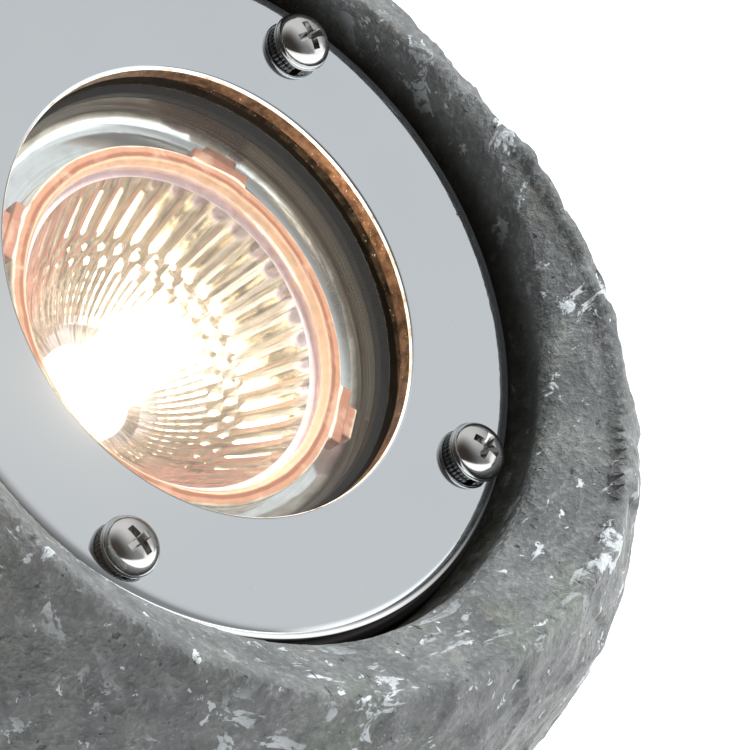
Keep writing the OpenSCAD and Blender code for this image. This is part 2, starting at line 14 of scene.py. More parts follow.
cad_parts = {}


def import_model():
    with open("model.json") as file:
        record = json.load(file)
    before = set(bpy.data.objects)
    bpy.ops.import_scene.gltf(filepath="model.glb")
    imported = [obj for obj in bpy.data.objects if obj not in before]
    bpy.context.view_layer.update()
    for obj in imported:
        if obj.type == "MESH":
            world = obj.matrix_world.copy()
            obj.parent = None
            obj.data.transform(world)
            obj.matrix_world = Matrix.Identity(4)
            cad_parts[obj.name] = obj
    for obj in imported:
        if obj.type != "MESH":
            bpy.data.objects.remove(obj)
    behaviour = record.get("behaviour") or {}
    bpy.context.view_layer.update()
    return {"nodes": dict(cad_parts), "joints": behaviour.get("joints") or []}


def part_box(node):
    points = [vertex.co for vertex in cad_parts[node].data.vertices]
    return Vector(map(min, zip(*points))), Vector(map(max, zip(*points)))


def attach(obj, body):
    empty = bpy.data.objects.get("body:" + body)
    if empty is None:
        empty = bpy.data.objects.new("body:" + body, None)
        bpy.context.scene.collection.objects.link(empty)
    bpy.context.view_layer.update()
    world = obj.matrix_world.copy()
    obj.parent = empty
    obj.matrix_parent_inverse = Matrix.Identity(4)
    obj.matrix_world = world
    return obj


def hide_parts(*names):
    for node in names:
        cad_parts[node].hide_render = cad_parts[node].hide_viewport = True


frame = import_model()

MM = 0.001
NODES = frame["nodes"]
JOINTS = {joint["name"]: joint for joint in frame["joints"]}
SCREWS = (1, 2, 3, 4)
TURN = 2 * math.pi
WHITE = (1, 1, 1)

# ---------------------------------------------------------------------- sizes

SHEET = 1.2 * MM  # the bezel's steel
SHEET_BEND = 0.4 * MM
INNER_ROLL = 0.55 * MM
OUTER_ROLL = 1.1 * MM  # the height of the outer roll, which is twice as wide
HOLE_R = 2.2 * MM

SHANK_R = 2.0 * MM
SCREW_PITCH = 0.7 * MM
THREAD_DEPTH = 0.38 * MM
NECK_DEPTH = 0.25 * MM  # the plain neck is thinner than the shank by this
HEAD_RIM = 0.75 * MM  # height of the head's upright rim
CROSS = (2.3 * MM, 1.08 * MM, 1.9 * MM)  # half length, width and depth of the cross recess's arms
CROSS_TURNS = {1: 3, 2: 64, 3: 18, 4: 38}  # degrees that each cross stands turned from the face's axes

RIBS = 40
RIB_STEPS = 10
RIB_SWELL = 0.38 * MM  # how far the middle of a rib stands out of the bowl at its rim
FACET_ROWS = (12.6, 14.6, 16.6, 18.2, 19.6, 20.8, 21.7, 22.3, 22.7)  # millimetres deep, where each row starts
SMALL_FACETS = 17 * MM  # rows that end deeper than this have facets of half the size
GLASS = 1.5 * MM
LAMP_RIM = 3.0 * MM
LAMP_RIM_R = 24.6 * MM
NECK_R = 8.2 * MM
NECK_LENGTH = 14 * MM
COVER_INSET = 2.4 * MM  # from the lamp's rim to the back of its cover glass

CABLE_R = 4.2 * MM
CABLE_BEND = 30 * MM
CORE_R = 1.02 * MM
CORE_DEPTH = 8 * MM  # how far the jacket's ends are open for the cores

STONE_VOXEL = 0.9 * MM
PEBBLE_HEIGHT = 48.5 * MM  # of the pebble's centre above the ground
MOUTH_R = 49.5 * MM  # where the recess's smooth wall meets the hewn funnel
MOUTH_H = 5.0 * MM
RECESS_DEPTH = 16 * MM  # the recess lies above this depth below the housing's front
CABLE_EXIT = 9.5 * MM  # the stone stays smooth round the cable within this radius


# ---------------------------------------------------------------------- the face frame

def screw_centre(number):
    return Vector(JOINTS[f"screw_{number}_turn"]["pos_m"])


def face_matrix():
    """+Z is the way the cover lifts off and +X goes across. The origin is the middle of the four screws."""
    normal = Vector(JOINTS["cover_lift"]["axis"]).normalized()
    across = Vector((1, 0, 0))
    matrix = Matrix((across, normal.cross(across), normal)).transposed().to_4x4()
    matrix.translation = sum((screw_centre(n) for n in SCREWS), Vector()) / len(SCREWS)
    return matrix


FACE = face_matrix()
FACE_INVERSE = FACE.inverted()


def screw_place(number):
    """The frame of one bezel screw: parallel to the face's, with its origin on the screw's axis."""
    place = FACE.copy()
    place.translation = screw_centre(number)
    return place


class Span:
    """The smallest and largest radius and height of a CAD node in the face frame, in metres."""

    def __init__(self, node, axis=Vector()):
        points = [FACE_INVERSE @ v.co - axis for v in NODES[node].data.vertices]
        radii = [p.xy.length for p in points]
        heights = [p.z for p in points]
        self.r_in, self.r_out = min(radii), max(radii)
        self.low, self.high = min(heights), max(heights)


def face_middle(node):
    """The middle of a CAD node's box in the face frame."""
    points = [FACE_INVERSE @ v.co for v in NODES[node].data.vertices]
    low = Vector([min(p[i] for p in points) for i in range(3)])
    high = Vector([max(p[i] for p in points) for i in range(3)])
    return (low + high) / 2


# ---------------------------------------------------------------------- mesh helpers

def smoothstep(low, high, value):
    t = min(1.0, max(0.0, (value - low) / (high - low)))
    return t * t * (3 - 2 * t)


def arc(centre, radius, start, end, steps):
    """Points of a circular arc in a profile, from start to end in degrees."""
    points = []
    for i in range(steps + 1):
        a = math.radians(start + (end - start) * i / steps)
        points.append((centre[0] + radius * math.cos(a), centre[1] + radius * math.sin(a)))
    return points


def skin(bm, rings, closed=False):
    """Joins neighbouring rings of vertices with faces. A ring of one vertex is a pole."""
    pairs = list(zip(rings, rings[1:]))
    if closed:
        pairs.append((rings[-1], rings[0]))
    faces = []
    for a, b in pairs:
        count = max(len(a), len(b))
        for i in range(count):
            j = (i + 1) % count
            corners = [a[i % len(a)], a[j % len(a)], b[j % len(b)], b[i % len(b)]]
            unique = list(dict.fromkeys(corners))
            if len(unique) > 2:
                faces.append(bm.faces.new(unique))
    return faces


def ring(bm, radius, height, steps):
    if radius < 1e-7:
        return [bm.verts.new((0, 0, height))]
    return [
        bm.verts.new((radius * math.cos(TURN * i / steps), radius * math.sin(TURN * i / steps), height))
        for i in range(steps)
    ]


def revolve(profile, steps=192, closed=True):
    """A lathed solid about +Z. A profile that isn't closed has to start and end on the axis."""
    bm = bmesh.new()
    skin(bm, [ring(bm, r, h, steps) for r, h in profile], closed)
    bmesh.ops.recalc_face_normals(bm, faces=bm.faces)
    return bm


def to_object(bm, name, place=None):
    mesh = bpy.data.meshes.new(name)
    bm.to_mesh(mesh)
    bm.free()
    if place is not None:
        mesh.transform(place)
    obj = bpy.data.objects.new(name, mesh)
    bpy.context.scene.collection.objects.link(obj)
    return obj


def bake_modifiers(obj):
    """Applies the modifiers of an object to its own mesh."""
    graph = bpy.context.evaluated_depsgraph_get()
    mesh = bpy.data.meshes.new_from_object(obj.evaluated_get(graph))
    obj.modifiers.clear()
    obj.data = mesh
    return obj


def combine(obj, tools, operation):
    """Cuts the tools out of obj, or joins them to it, and deletes them."""
    for tool in tools:
        step = obj.modifiers.new("step", "BOOLEAN")
        step.operation = operation
        step.solver = "EXACT"
        step.object = tool
    bake_modifiers(obj)
    for tool in tools:
        bpy.data.objects.remove(tool)
    return obj


def round_edges(obj, width, segments=2, angle=35):
    step = obj.modifiers.new("rounding", "BEVEL")
    step.width = width
    step.segments = segments
    step.limit_method = "ANGLE"
    step.angle_limit = math.radians(angle)
    return obj


def shade(obj, angle=35):
    """Smooth shading that stays crisp at edges sharper than the angle."""
    mesh = obj.data
    mesh.polygons.foreach_set("use_smooth", [True] * len(mesh.polygons))
    mesh.set_sharp_from_angle(angle=math.radians(angle))
    step = obj.modifiers.new("normals", "WEIGHTED_NORMAL")
    step.keep_sharp = True
    return obj


def add_piece(obj, body, nodes, slot, *materials):
    """Hangs a finished piece on its body. It stands for the CAD nodes it replaces."""
    for material in materials:
        obj.data.materials.append(material)
    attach(obj, body)
    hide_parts(*nodes)
    return obj


# ---------------------------------------------------------------------- shader helpers

class Shader:
    """A material's node tree. Each method adds one node and returns its output socket."""

    def __init__(self, name):
        self.material = bpy.data.materials.new(name)
        self.material.use_nodes = True
        self.tree = self.material.node_tree
        self.tree.nodes.clear()

    def add(self, kind, inputs=None, output=0, **settings):
        node = self.tree.nodes.new("ShaderNode" + kind)
        for key, value in settings.items():
            setattr(node, key, value)
        for key, value in (inputs or {}).items():
            socket = node.inputs[key]
            if isinstance(value, bpy.types.NodeSocket):
                self.tree.links.new(value, socket)
            elif socket.type == "RGBA" and len(value) == 3:
                socket.default_value = (*value, 1)
            else:
                socket.default_value = value
        return node.outputs[output]

    def coords(self, scale=(1, 1, 1), turn=(0, 0, 0)):
        """Coordinates in millimetres, stretched and turned for patterns with a grain."""
        place = self.add("TexCoord", output="Object")
        size = tuple(s / MM for s in scale)
        turn = tuple(math.radians(a) for a in turn)
        return self.add("Mapping", {"Vector": place, "Scale": size, "Rotation": turn})

    def noise(self, size, detail=3.0, roughness=0.5, coords=None, distortion=0.0):
        """Cloudy noise between 0 and 1. size is in millimetres."""
        values = {
            "Vector": coords or self.coords(),
            "Scale": 1 / size,
            "Detail": detail,
            "Roughness": roughness,
            "Distortion": distortion,
        }
        return self.add("TexNoise", values)

    def ramp(self, factor, stops):
        """stops are (position, colour)."""
        node = self.tree.nodes.new("ShaderNodeValToRGB")
        elements = node.color_ramp.elements
        while len(elements) < len(stops):
            elements.new(1.0)
        for element, (position, colour) in zip(elements, stops):
            element.position = position
            element.color = (*colour, 1)
        self.tree.links.new(factor, node.inputs["Fac"])
        return node.outputs["Color"]

    def span(self, value, low, high, to_low=0.0, to_high=1.0):
        """Carries the range low..high over to to_low..to_high, and holds the ends."""
        values = {"Value": value, "From Min": low, "From Max": high, "To Min": to_low, "To Max": to_high}
        return self.add("MapRange", values)

    def maths(self, operation, a, b=0.0):
        return self.add("Math", {0: a, 1: b}, operation=operation)

    def mix(self, factor, a, b):
        return self.add("Mix", {0: factor, 6: a, 7: b}, output=2, data_type="RGBA")

    def layers(self, base, *coats):
        """Lays colours over the base in turn, each where its own mask is 1."""
        for mask, colour in coats:
            base = self.mix(mask, base, colour)
        return base

    def bump(self, height, strength, depth):
        """depth is the height difference, in millimetres, between 0 and 1."""
        return self.add("Bump", {"Height": height, "Strength": strength, "Distance": depth * MM})

    def blend(self, factor, a, b):
        """Mixes two surfaces: a where the factor is 0 and b where it is 1."""
        return self.add("MixShader", {0: factor, 1: a, 2: b})

    def principled(self, **values):
        return self.add("BsdfPrincipled", {key.replace("_", " "): value for key, value in values.items()})

    def facing(self, direction):
        """How far the surface faces a direction: 1 straight at it, -1 away from it."""
        normal = self.add("NewGeometry", output="Normal")
        return self.add("VectorMath", {0: normal, 1: direction}, output="Value", operation="DOT_PRODUCT")

    def face_place(self):
        """Distance from the face's axis and height above the bezel's front, in millimetres."""
        place = self.add("TexCoord", output="Object")
        offset = self.add("VectorMath", {0: place, 1: -FACE.translation}, operation="ADD")
        normal = FACE.to_3x3() @ Vector((0, 0, 1))
        height = self.add("VectorMath", {0: offset, 1: normal}, output="Value", operation="DOT_PRODUCT")
        length = self.add("VectorMath", {0: offset}, output="Value", operation="LENGTH")
        squares = [self.maths("POWER", side, 2.0) for side in (length, height)]
        radius = self.maths("SQRT", self.maths("SUBTRACT", *squares))
        return self.maths("DIVIDE", radius, MM), self.maths("DIVIDE", height, MM)

    def attribute(self, name):
        """A number that the mesh carries at each of its points."""
        return self.add("Attribute", output="Fac", attribute_name=name)

    def finish(self, surface):
        out = self.tree.nodes.new("ShaderNodeOutputMaterial")
        self.tree.links.new(surface, out.inputs["Surface"])
        return self.material


def moulded(name, colour, roughness, grain=0.35, grain_depth=0.012):
    """Moulded plastic or rubber: fine grain, slow changes of sheen, faint dust."""
    s = Shader(name)
    fine = s.noise(grain, 4, 0.6)
    slow = s.noise(14, 3)
    tint = s.mix(s.span(slow, 0.35, 0.7), colour, tuple(c * 1.35 + 0.004 for c in colour))
    dust_and_shade = s.span(s.noise(2.2, 5, 0.7), 0.62, 0.8, 0.0, 0.18)
    tint = s.mix(dust_and_shade, tint, tuple(0.5 * c + 0.16 for c in colour))
    gloss = s.span(slow, 0.3, 0.75, roughness - 0.05, roughness + 0.1)
    return s.finish(s.principled(Base_Color=tint, Roughness=gloss, Normal=s.bump(fine, 0.6, grain_depth)))


def metal(name, colour, roughness, brushed=(1, 1, 1), grain_depth=0.0, stain=0.08):
    """Metal with a grain along one direction, fine scratches and slow stains."""
    s = Shader(name)
    streaks = s.noise(0.5, 3, 0.6, s.coords(brushed))
    slow = s.noise(7, 4, 0.6)
    tint = s.mix(s.span(slow, 0.4, 0.75, 0, stain), colour, tuple(c * 0.55 for c in colour))
    scratches = s.span(s.noise(1.1, 2, 0.4, s.coords((0.08, 2.4, 1.3), (14, 31, 52))), 0.70, 0.78)
    brush = s.span(streaks, 0.3, 0.7, roughness * 0.7, roughness * 1.4)
    rough = s.maths("ADD", brush, s.maths("MULTIPLY", scratches, 0.05))
    values = {"Base_Color": tint, "Metallic": 1.0, "Roughness": rough}
    if grain_depth:
        values["Normal"] = s.bump(streaks, 0.5, grain_depth)
    return s.finish(s.principled(**values))


# ---------------------------------------------------------------------- materials

STONE_GREYS = (
    (0.32, (0.120, 0.128, 0.130)),
    (0.50, (0.165, 0.174, 0.176)),
    (0.68, (0.218, 0.229, 0.230)),
)
MOSS_TINT = (0.195, 0.228, 0.190)
OCHRE_TINT = (0.25, 0.245, 0.19)
DARK_MOTTLE = (0.085, 0.094, 0.098)
PALE_MOTTLE = (0.34, 0.36, 0.36)
DARK_GRAIN = (0.075, 0.082, 0.086)
PALE_GRAIN = (0.40, 0.42, 0.425)
CHIP_AND_GLINT_WHITE = (0.62, 0.67, 0.70)
PIT_AND_SHADE_BLACK = (0.045, 0.048, 0.052)
# painted shade for the deep wall of the recess
PAINTED_RECESS_SHADE = (0.012, 0.012, 0.008)


def stone_material():
    """Cast stone: grey with greenish and ochre mottles, pale chips that also stand in for painted glints,
    short veins, dark pits deepened by painted shade, and painted shade deep in the recess.
    """
    s = Shader("hewn_stone")
    soft = s.noise(11, 4, 0.55, distortion=0.6)
    mottle = s.noise(3.6, 5, 0.62, distortion=0.4)
    grain = s.noise(0.8, 3, 0.6)
    moss = s.noise(8, 3, 0.5, s.coords((1, 1, 0.8), (20, 40, 0)))
    ochre = s.noise(6.5, 3, 0.5, s.coords((1, 1, 1), (0, 70, 10)))
    veins = s.noise(4.6, 4, 0.68, s.coords((0.5, 1.5, 0.9), (12, -38, 20)), 0.6)
    patches = s.noise(17, 2, 0.5, s.coords((1, 1, 1), (60, 0, 30)))
    chips_and_glints = s.noise(2.2, 3, 0.62, s.coords((1, 1, 0.8), (40, 10, 70)), 0.5)
    holes = s.noise(1.6, 3, 0.6, s.coords((1.3, 0.6, 1), (5, 15, 60)), 0.4)
    dust_and_shade = s.noise(2.6, 4, 0.6)
    vein = s.maths("MULTIPLY", s.span(veins, 0.585, 0.615), s.span(patches, 0.40, 0.60))
    pale = s.maths("MAXIMUM", vein, s.span(chips_and_glints, 0.655, 0.68))
    pits_and_shade = s.span(holes, 0.285, 0.325, 0.8, 0)
    recess_shade = s.attribute("recess_shade")
    tint = s.layers(
        s.ramp(soft, STONE_GREYS),
        (s.span(moss, 0.52, 0.70, 0, 0.6), MOSS_TINT),
        (s.span(ochre, 0.60, 0.74, 0, 0.4), OCHRE_TINT),
        (s.span(mottle, 0.30, 0.48, 0.6, 0), DARK_MOTTLE),
        (s.span(mottle, 0.54, 0.72, 0, 0.5), PALE_MOTTLE),
        (s.span(grain, 0.34, 0.62, 0.42, 0), DARK_GRAIN),
        (s.span(grain, 0.56, 0.74, 0, 0.35), PALE_GRAIN),
        # pale veins and chips, the chips standing in for painted glints as well
        (s.maths("MULTIPLY", pale, 0.9), CHIP_AND_GLINT_WHITE),
        # dark pits, deepened with painted shade
        (pits_and_shade, PIT_AND_SHADE_BLACK),
        # painted shade: the recess's wall turns near black deep down, broken up a little by noise
        (s.maths("MULTIPLY", recess_shade, s.span(dust_and_shade, 0.25, 0.6, 0.80, 0.97)), PAINTED_RECESS_SHADE),
    )
    height = s.maths("ADD", s.maths("MULTIPLY", mottle, 0.8), s.maths("MULTIPLY", grain, 0.45))
    height = s.maths("SUBTRACT", height, s.maths("MULTIPLY", pits_and_shade, 0.35))
    relief = s.bump(height, s.span(recess_shade, 0.0, 0.35, 1.0, 0.25), 0.8)
    gloss = s.span(mottle, 0.3, 0.7, 0.62, 0.42)
    return s.finish(s.principled(Base_Color=tint, Roughness=gloss, Specular_IOR_Level=0.45, Normal=relief))


def polished_material():
    """The bezel's mirror-polished sheet, with a few faint wipes and specks."""
    s = Shader("polished_sheet")
    wipes = s.span(s.noise(2.5, 3, 0.5, s.coords((0.12, 1.6, 0.5), (25, 10, 40))), 0.62, 0.8, 0, 0.05)
    specks = s.span(s.noise(0.5, 1, 0.5), 0.78, 0.80, 0, 0.35)
    slow = s.noise(22, 2)
    tint = s.mix(s.span(slow, 0.3, 0.7), (0.585, 0.63, 0.665), (0.605, 0.64, 0.665))
    tint = s.mix(specks, tint, (0.8, 0.82, 0.83))
    rough = s.maths("ADD", s.maths("ADD", wipes, s.maths("MULTIPLY", specks, 0.3)), 0.035)
    return s.finish(s.principled(Base_Color=tint, Metallic=1.0, Roughness=rough))


def sheet_glass(s, tint, ior, violet=0.0):
    """A sheet seen through in a straight line, which mirrors by its angle, so the lamp's light passes it."""
    smear = s.noise(9, 3, 0.5)
    sheen = s.mix(violet, WHITE, (0.80, 0.72, 1.0))
    mirror = s.add("BsdfGlossy", {"Color": sheen, "Roughness": s.span(smear, 0.4, 0.75, 0.0, 0.03)})
    through = s.add("BsdfTransparent", {"Color": tint})
    inside = s.add("NewGeometry", output="Backfacing")
    facing_ior = s.maths("POWER", ior, s.span(inside, 0, 1, 1, -1))
    unshadowed = s.maths("SUBTRACT", 1.0, s.add("LightPath", output="Is Shadow Ray"))
    share = s.maths("MULTIPLY", s.add("Fresnel", {"IOR": facing_ior}), unshadowed)
    return s.blend(share, through, mirror)


CUP_WALL_FOOT = -11.5  # heights between which the cup's floor turns into its wall, in millimetres
CUP_WALL_TOP = -10.5


def cup_material():
    """The drawn cup: bright blue-grey on its floor with a painted glow, olive brown up its wall."""
    s = Shader("drawn_cup")
    radius, height = s.face_place()
    cloud = s.noise(5, 4, 0.6)
    ragged = s.maths("ADD", height, s.span(cloud, 0.3, 0.7, -0.25, 0.25))
    wall = s.span(ragged, CUP_WALL_FOOT, CUP_WALL_TOP)
    section = s.add("CombineXYZ", {0: radius, 1: height})
    rings = s.add("TexNoise", {"Vector": section, "Scale": 3.0, "Detail": 2.0})
    ringed = s.span(rings, 0.35, 0.65)
    floor_tint = s.mix(ringed, (0.66, 0.70, 0.73), (0.80, 0.83, 0.85))
    wall_tint = s.mix(ringed, (0.10, 0.087, 0.070), (0.185, 0.165, 0.135))
    tint = s.mix(wall, floor_tint, wall_tint)
    tint = s.mix(s.span(cloud, 0.45, 0.75, 0, 0.3), tint, (0.20, 0.18, 0.15))
    rough = s.span(cloud, 0.3, 0.7, 0.10, 0.22)
    # painted glow: the cup's floor glows a little, as if lit by the lamp
    glow = s.span(wall, 0, 1, 0.14, 0)
    return s.finish(s.principled(Base_Color=tint, Metallic=1.0, Roughness=rough,
                                 Emission_Color=(0.92, 0.90, 0.86), Emission_Strength=glow))


def cover_glass_material():
    """The lamp's thin cover, with a violet sheen."""
    s = Shader("lamp_cover")
    return s.finish(sheet_glass(s, (0.985, 0.97, 1.0), 1.5, 0.8))


CLAMP_R = 32.0  # the glass is hidden outside this radius, by its clamped border painted with the lamp's light, in millimetres


def front_glass_material():
    """The clamped border of the glass is opaque and painted with the lamp's light: copper brown with painted
    glints.
    """
    s = Shader("front_glass")
    clear = sheet_glass(s, (0.97, 0.985, 0.98), 1.45)
    radius, height = s.face_place()
    # the opaque border carries painted lamp light and painted glints
    border = s.maths("MULTIPLY", s.span(radius, CLAMP_R, CLAMP_R + 0.2), s.span(height, -4.0, -4.6))
    brown, glow, glints = lit_metal(s)
    edge = s.principled(Base_Color=brown, Metallic=0.6, Roughness=0.45, Emission_Color=glow,
                        Emission_Strength=glints)
    return s.finish(s.blend(border, clear, edge))


def lit_metal(s):
    """Painted lamp light on metal that the lamp grazes: a brown tone, a glow colour and a glow strength, with
    painted glints on sparkling burrs.
    """
    cloud = s.noise(1.6, 4, 0.6)
    brown = s.mix(s.span(cloud, 0.35, 0.65), (0.07, 0.040, 0.024), (0.25, 0.14, 0.08))
    # painted glints
    speck = s.span(s.noise(0.42, 2, 0.5), 0.66, 0.72, 0.0, 0.9)
    glow = s.mix(speck, (0.32, 0.19, 0.10), (1.0, 0.80, 0.56))
    return brown, glow, s.maths("ADD", s.span(cloud, 0.38, 0.62, 0.03, 0.27), speck)


# tones of the painted highlight on the inner roll
HIGHLIGHT_TONES = (
    (0.30, (0.70, 0.42, 0.24)),
    (0.42, (1.0, 0.84, 0.64)),
    (0.55, (1.0, 0.97, 0.90)),
)


def edge_highlight_material():
    """The rolled edge over the lamp: a painted highlight, a white to copper line that glows where the edge
    would mirror the lit capsule.
    """
    s = Shader("edge_highlight")
    broken = s.noise(2.8, 4, 0.65)
    return s.finish(s.principled(Base_Color=(0.75, 0.62, 0.5), Metallic=1.0, Roughness=0.12,
                                 Emission_Color=s.ramp(broken, HIGHLIGHT_TONES),
                                 Emission_Strength=s.span(broken, 0.32, 0.5, 0.5, 1.3)))


def rolled_edge_material():
    """The bezel's outer roll: a painted highlight glows on its underside where it would mirror the pale
    floor, and its right side is painted dark as the recess's shade.
    """
    s = Shader("rolled_edge")
    cloud = s.noise(4, 3)
    rise = s.facing((0, 0, 1))
    under = s.maths("MULTIPLY", s.span(rise, 0.22, 0.02), s.span(rise, -0.40, -0.25))
    lit = s.maths("MULTIPLY", under, s.span(s.facing((0, -1, 0)), 0.86, 0.95))
    bright = s.principled(Base_Color=(0.60, 0.635, 0.66), Metallic=1.0, Emission_Color=WHITE,
                          Roughness=s.span(cloud, 0.3, 0.7, 0.04, 0.08),
                          Emission_Strength=s.maths("MULTIPLY", lit, 0.95))
    dark = s.principled(Base_Color=(0.02, 0.021, 0.023), Roughness=s.span(cloud, 0.3, 0.7, 0.4, 0.55))
    # painted shade on the right side, over the painted highlight
    return s.finish(s.blend(s.span(s.facing((1, 0, 0)), 0.08, 0.34, 0, 0.92), bright, dark))


def lit_wall_material():
    """The bezel's inner wall, right over the lamp, painted with the lamp's warm light and glints."""
    s = Shader("lit_wall")
    brown, glow, glints = lit_metal(s)
    return s.finish(s.principled(Base_Color=brown, Metallic=0.9, Roughness=0.38, Emission_Color=glow,
                                 Emission_Strength=s.maths("MULTIPLY", glints, 0.6),
                                 Normal=s.bump(s.noise(0.5, 3, 0.6), 0.4, 0.04)))


PEACH = (0.82, 0.52, 0.34)
TERRACOTTA = (0.36, 0.12, 0.06)
CREAM = (1.0, 0.87, 0.70)
RIM_REACH = (21.8, 27.8)  # millimetres from the lamp's axis that the tones below spread over
RIM_TONES = (
    (0.02, (0.90, 0.74, 0.66)),
    (0.08, (0.84, 0.56, 0.37)),
    (0.17, PEACH),
    (0.21, TERRACOTTA),
    (0.27, TERRACOTTA),
    (0.31, (0.58, 0.27, 0.16)),
    (0.40, (0.60, 0.29, 0.17)),
    (0.43, CREAM),
    (0.47, CREAM),
    (0.51, (0.46, 0.19, 0.12)),
    (0.90, (0.52, 0.24, 0.16)),
    (0.97, (1.0, 0.82, 0.62)),
)


def pressed_glass_material():
    """Pressed glass lit from inside, with a painted glow: peach, terracotta in the rim's crease and cream at
    its edges.
    """
    s = Shader("pressed_glass")
    slow = s.noise(4, 3, 0.5, distortion=0.5)
    ripple = s.noise(1.2, 3, 0.55)
    reach = s.maths("ADD", s.attribute("reach"), s.span(slow, 0.3, 0.7, -0.12, 0.12))
    tone = s.ramp(s.span(reach, *RIM_REACH), RIM_TONES)
    tone = s.mix(s.span(slow, 0.54, 0.72, 0, 0.4), tone, (0.96, 0.66, 0.48))
    return s.finish(s.principled(Base_Color=tone, Roughness=0.10, Coat_Weight=0.6, Coat_Roughness=0.03,
                                 Emission_Color=tone, Emission_Strength=s.span(ripple, 0.3, 0.7, 0.12, 0.34),
                                 Normal=s.bump(ripple, 0.4, 0.14)))


COATING_TINTS = (
    (0.05, (0.98, 0.95, 0.82)),
    (0.40, (0.97, 0.92, 0.78)),
    (0.66, (0.96, 0.74, 0.60)),
    (0.92, (0.98, 0.72, 0.66)),
)
COATING_GLOWS = (
    (0.10, (0.30, 0.25, 0.09)),
    (0.45, (0.36, 0.27, 0.13)),
    (0.70, (0.62, 0.34, 0.24)),
    (0.95, (0.80, 0.48, 0.36)),
)


def dichroic_material():
    """The mirror coating inside the bowl: cream and olive seen straight on, salmon at a slant, with painted
    white highlight streaks, painted olive shade between them and a painted glow.
    """
    s = Shader("dichroic_coating")
    slant = s.add("LayerWeight", {"Blend": 0.5}, output="Facing")
    mottle = s.noise(1.4, 3, 0.6)
    across = s.maths("MULTIPLY", s.attribute("pleat"), 2.6)
    outwards = s.maths("MULTIPLY", s.attribute("reach"), 0.16)
    pleats = s.add("CombineXYZ", {0: across, 1: outwards})
    streak = s.add("TexNoise", {"Vector": pleats, "Scale": 1.0, "Detail": 3.0, "Roughness": 0.65})
    tint = s.layers(
        s.ramp(slant, COATING_TINTS),
        # painted olive shade between the streaks, then painted white highlight streaks
        (s.span(streak, 0.38, 0.47, 0.75, 0), (0.40, 0.33, 0.17)),
        (s.span(streak, 0.53, 0.62, 0, 0.6), (1.0, 0.96, 0.90)),
    )
    # painted glow, stronger along the painted highlight streaks
    power = s.maths("MULTIPLY", s.span(mottle, 0.3, 0.7, 0.16, 0.32), s.span(streak, 0.35, 0.65, 0.5, 1.5))
    gloss = s.span(mottle, 0.3, 0.7, 0.06, 0.16)
    return s.finish(s.principled(Base_Color=tint, Metallic=1.0, Roughness=gloss,
                                 Emission_Color=s.ramp(slant, COATING_GLOWS), Emission_Strength=power,
                                 Normal=s.bump(streak, 0.4, 0.08)))


GLOW_TOP = -19.0  # the bulb is clear above this height and lit below the next one, in millimetres
GLOW_FULL = -24.5
BULB_POWER = 8.0
COIL_POWER = 25.0
HOT_GLASS = (0.9, 0.88, 0.84)


def lit_quartz_material():
    """The bulb is clear at its tip and glows around the coil and below it."""
    s = Shader("lit_quartz")
    height = s.face_place()[1]
    ragged = s.maths("ADD", height, s.span(s.noise(3, 3), 0.3, 0.7, -0.6, 0.6))
    glow = s.principled(Base_Color=HOT_GLASS, Roughness=0.1, Emission_Color=(1.0, 0.86, 0.66),
                        Emission_Strength=BULB_POWER)
    clear = sheet_glass(s, (1.0, 0.97, 0.92), 1.46)
    return s.finish(s.blend(s.span(ragged, GLOW_FULL, GLOW_TOP), glow, clear))


def tungsten_material():
    """Lit tungsten, a little uneven along the wire."""
    s = Shader("lit_tungsten")
    power = s.span(s.noise(2.5, 2), 0.3, 0.7, COIL_POWER * 0.9, COIL_POWER * 1.1)
    return s.finish(s.principled(Base_Color=HOT_GLASS, Roughness=0.1, Emission_Color=(1.0, 0.80, 0.52),
                                 Emission_Strength=power))


def mineral(name, light, dark, grain=1.3, roughness=0.8, depth=0.15):
    """Cement, mortar or unglazed ceramic: sandy grains in two tones."""
    s = Shader(name)
    sand = s.noise(grain, 5, 0.7)
    slow = s.noise(9, 3)
    tint = s.mix(s.span(sand, 0.35, 0.65), dark, light)
    tint = s.mix(s.span(slow, 0.4, 0.7, 0, 0.3), tint, dark)
    return s.finish(s.principled(Base_Color=tint, Roughness=roughness, Normal=s.bump(sand, 0.7, depth)))


FLOOR_GLOW = 0.10  # what the floor gives to the stone, to the mirrors and to the camera
FLOOR_IN_MIRRORS = 1.2
FLOOR_IN_VIEW = 0.78


def floor_material():
    """The studio's pale sweep. It is bright in view and in mirrors, and dim as a light."""
    s = Shader("studio_floor")
    tint = s.mix(s.span(s.noise(120, 2), 0.3, 0.7), (0.56, 0.56, 0.56), (0.60, 0.60, 0.60))
    mirrored = s.span(s.add("LightPath", output="Is Glossy Ray"), 0, 1, FLOOR_GLOW, FLOOR_IN_MIRRORS)
    seen = s.span(s.add("LightPath", output="Is Camera Ray"), 0, 1, FLOOR_GLOW, FLOOR_IN_VIEW)
    return s.finish(s.principled(Base_Color=tint, Roughness=0.6, Specular_IOR_Level=0.1, Emission_Color=WHITE,
                                 Emission_Strength=s.maths("MAXIMUM", mirrored, seen)))


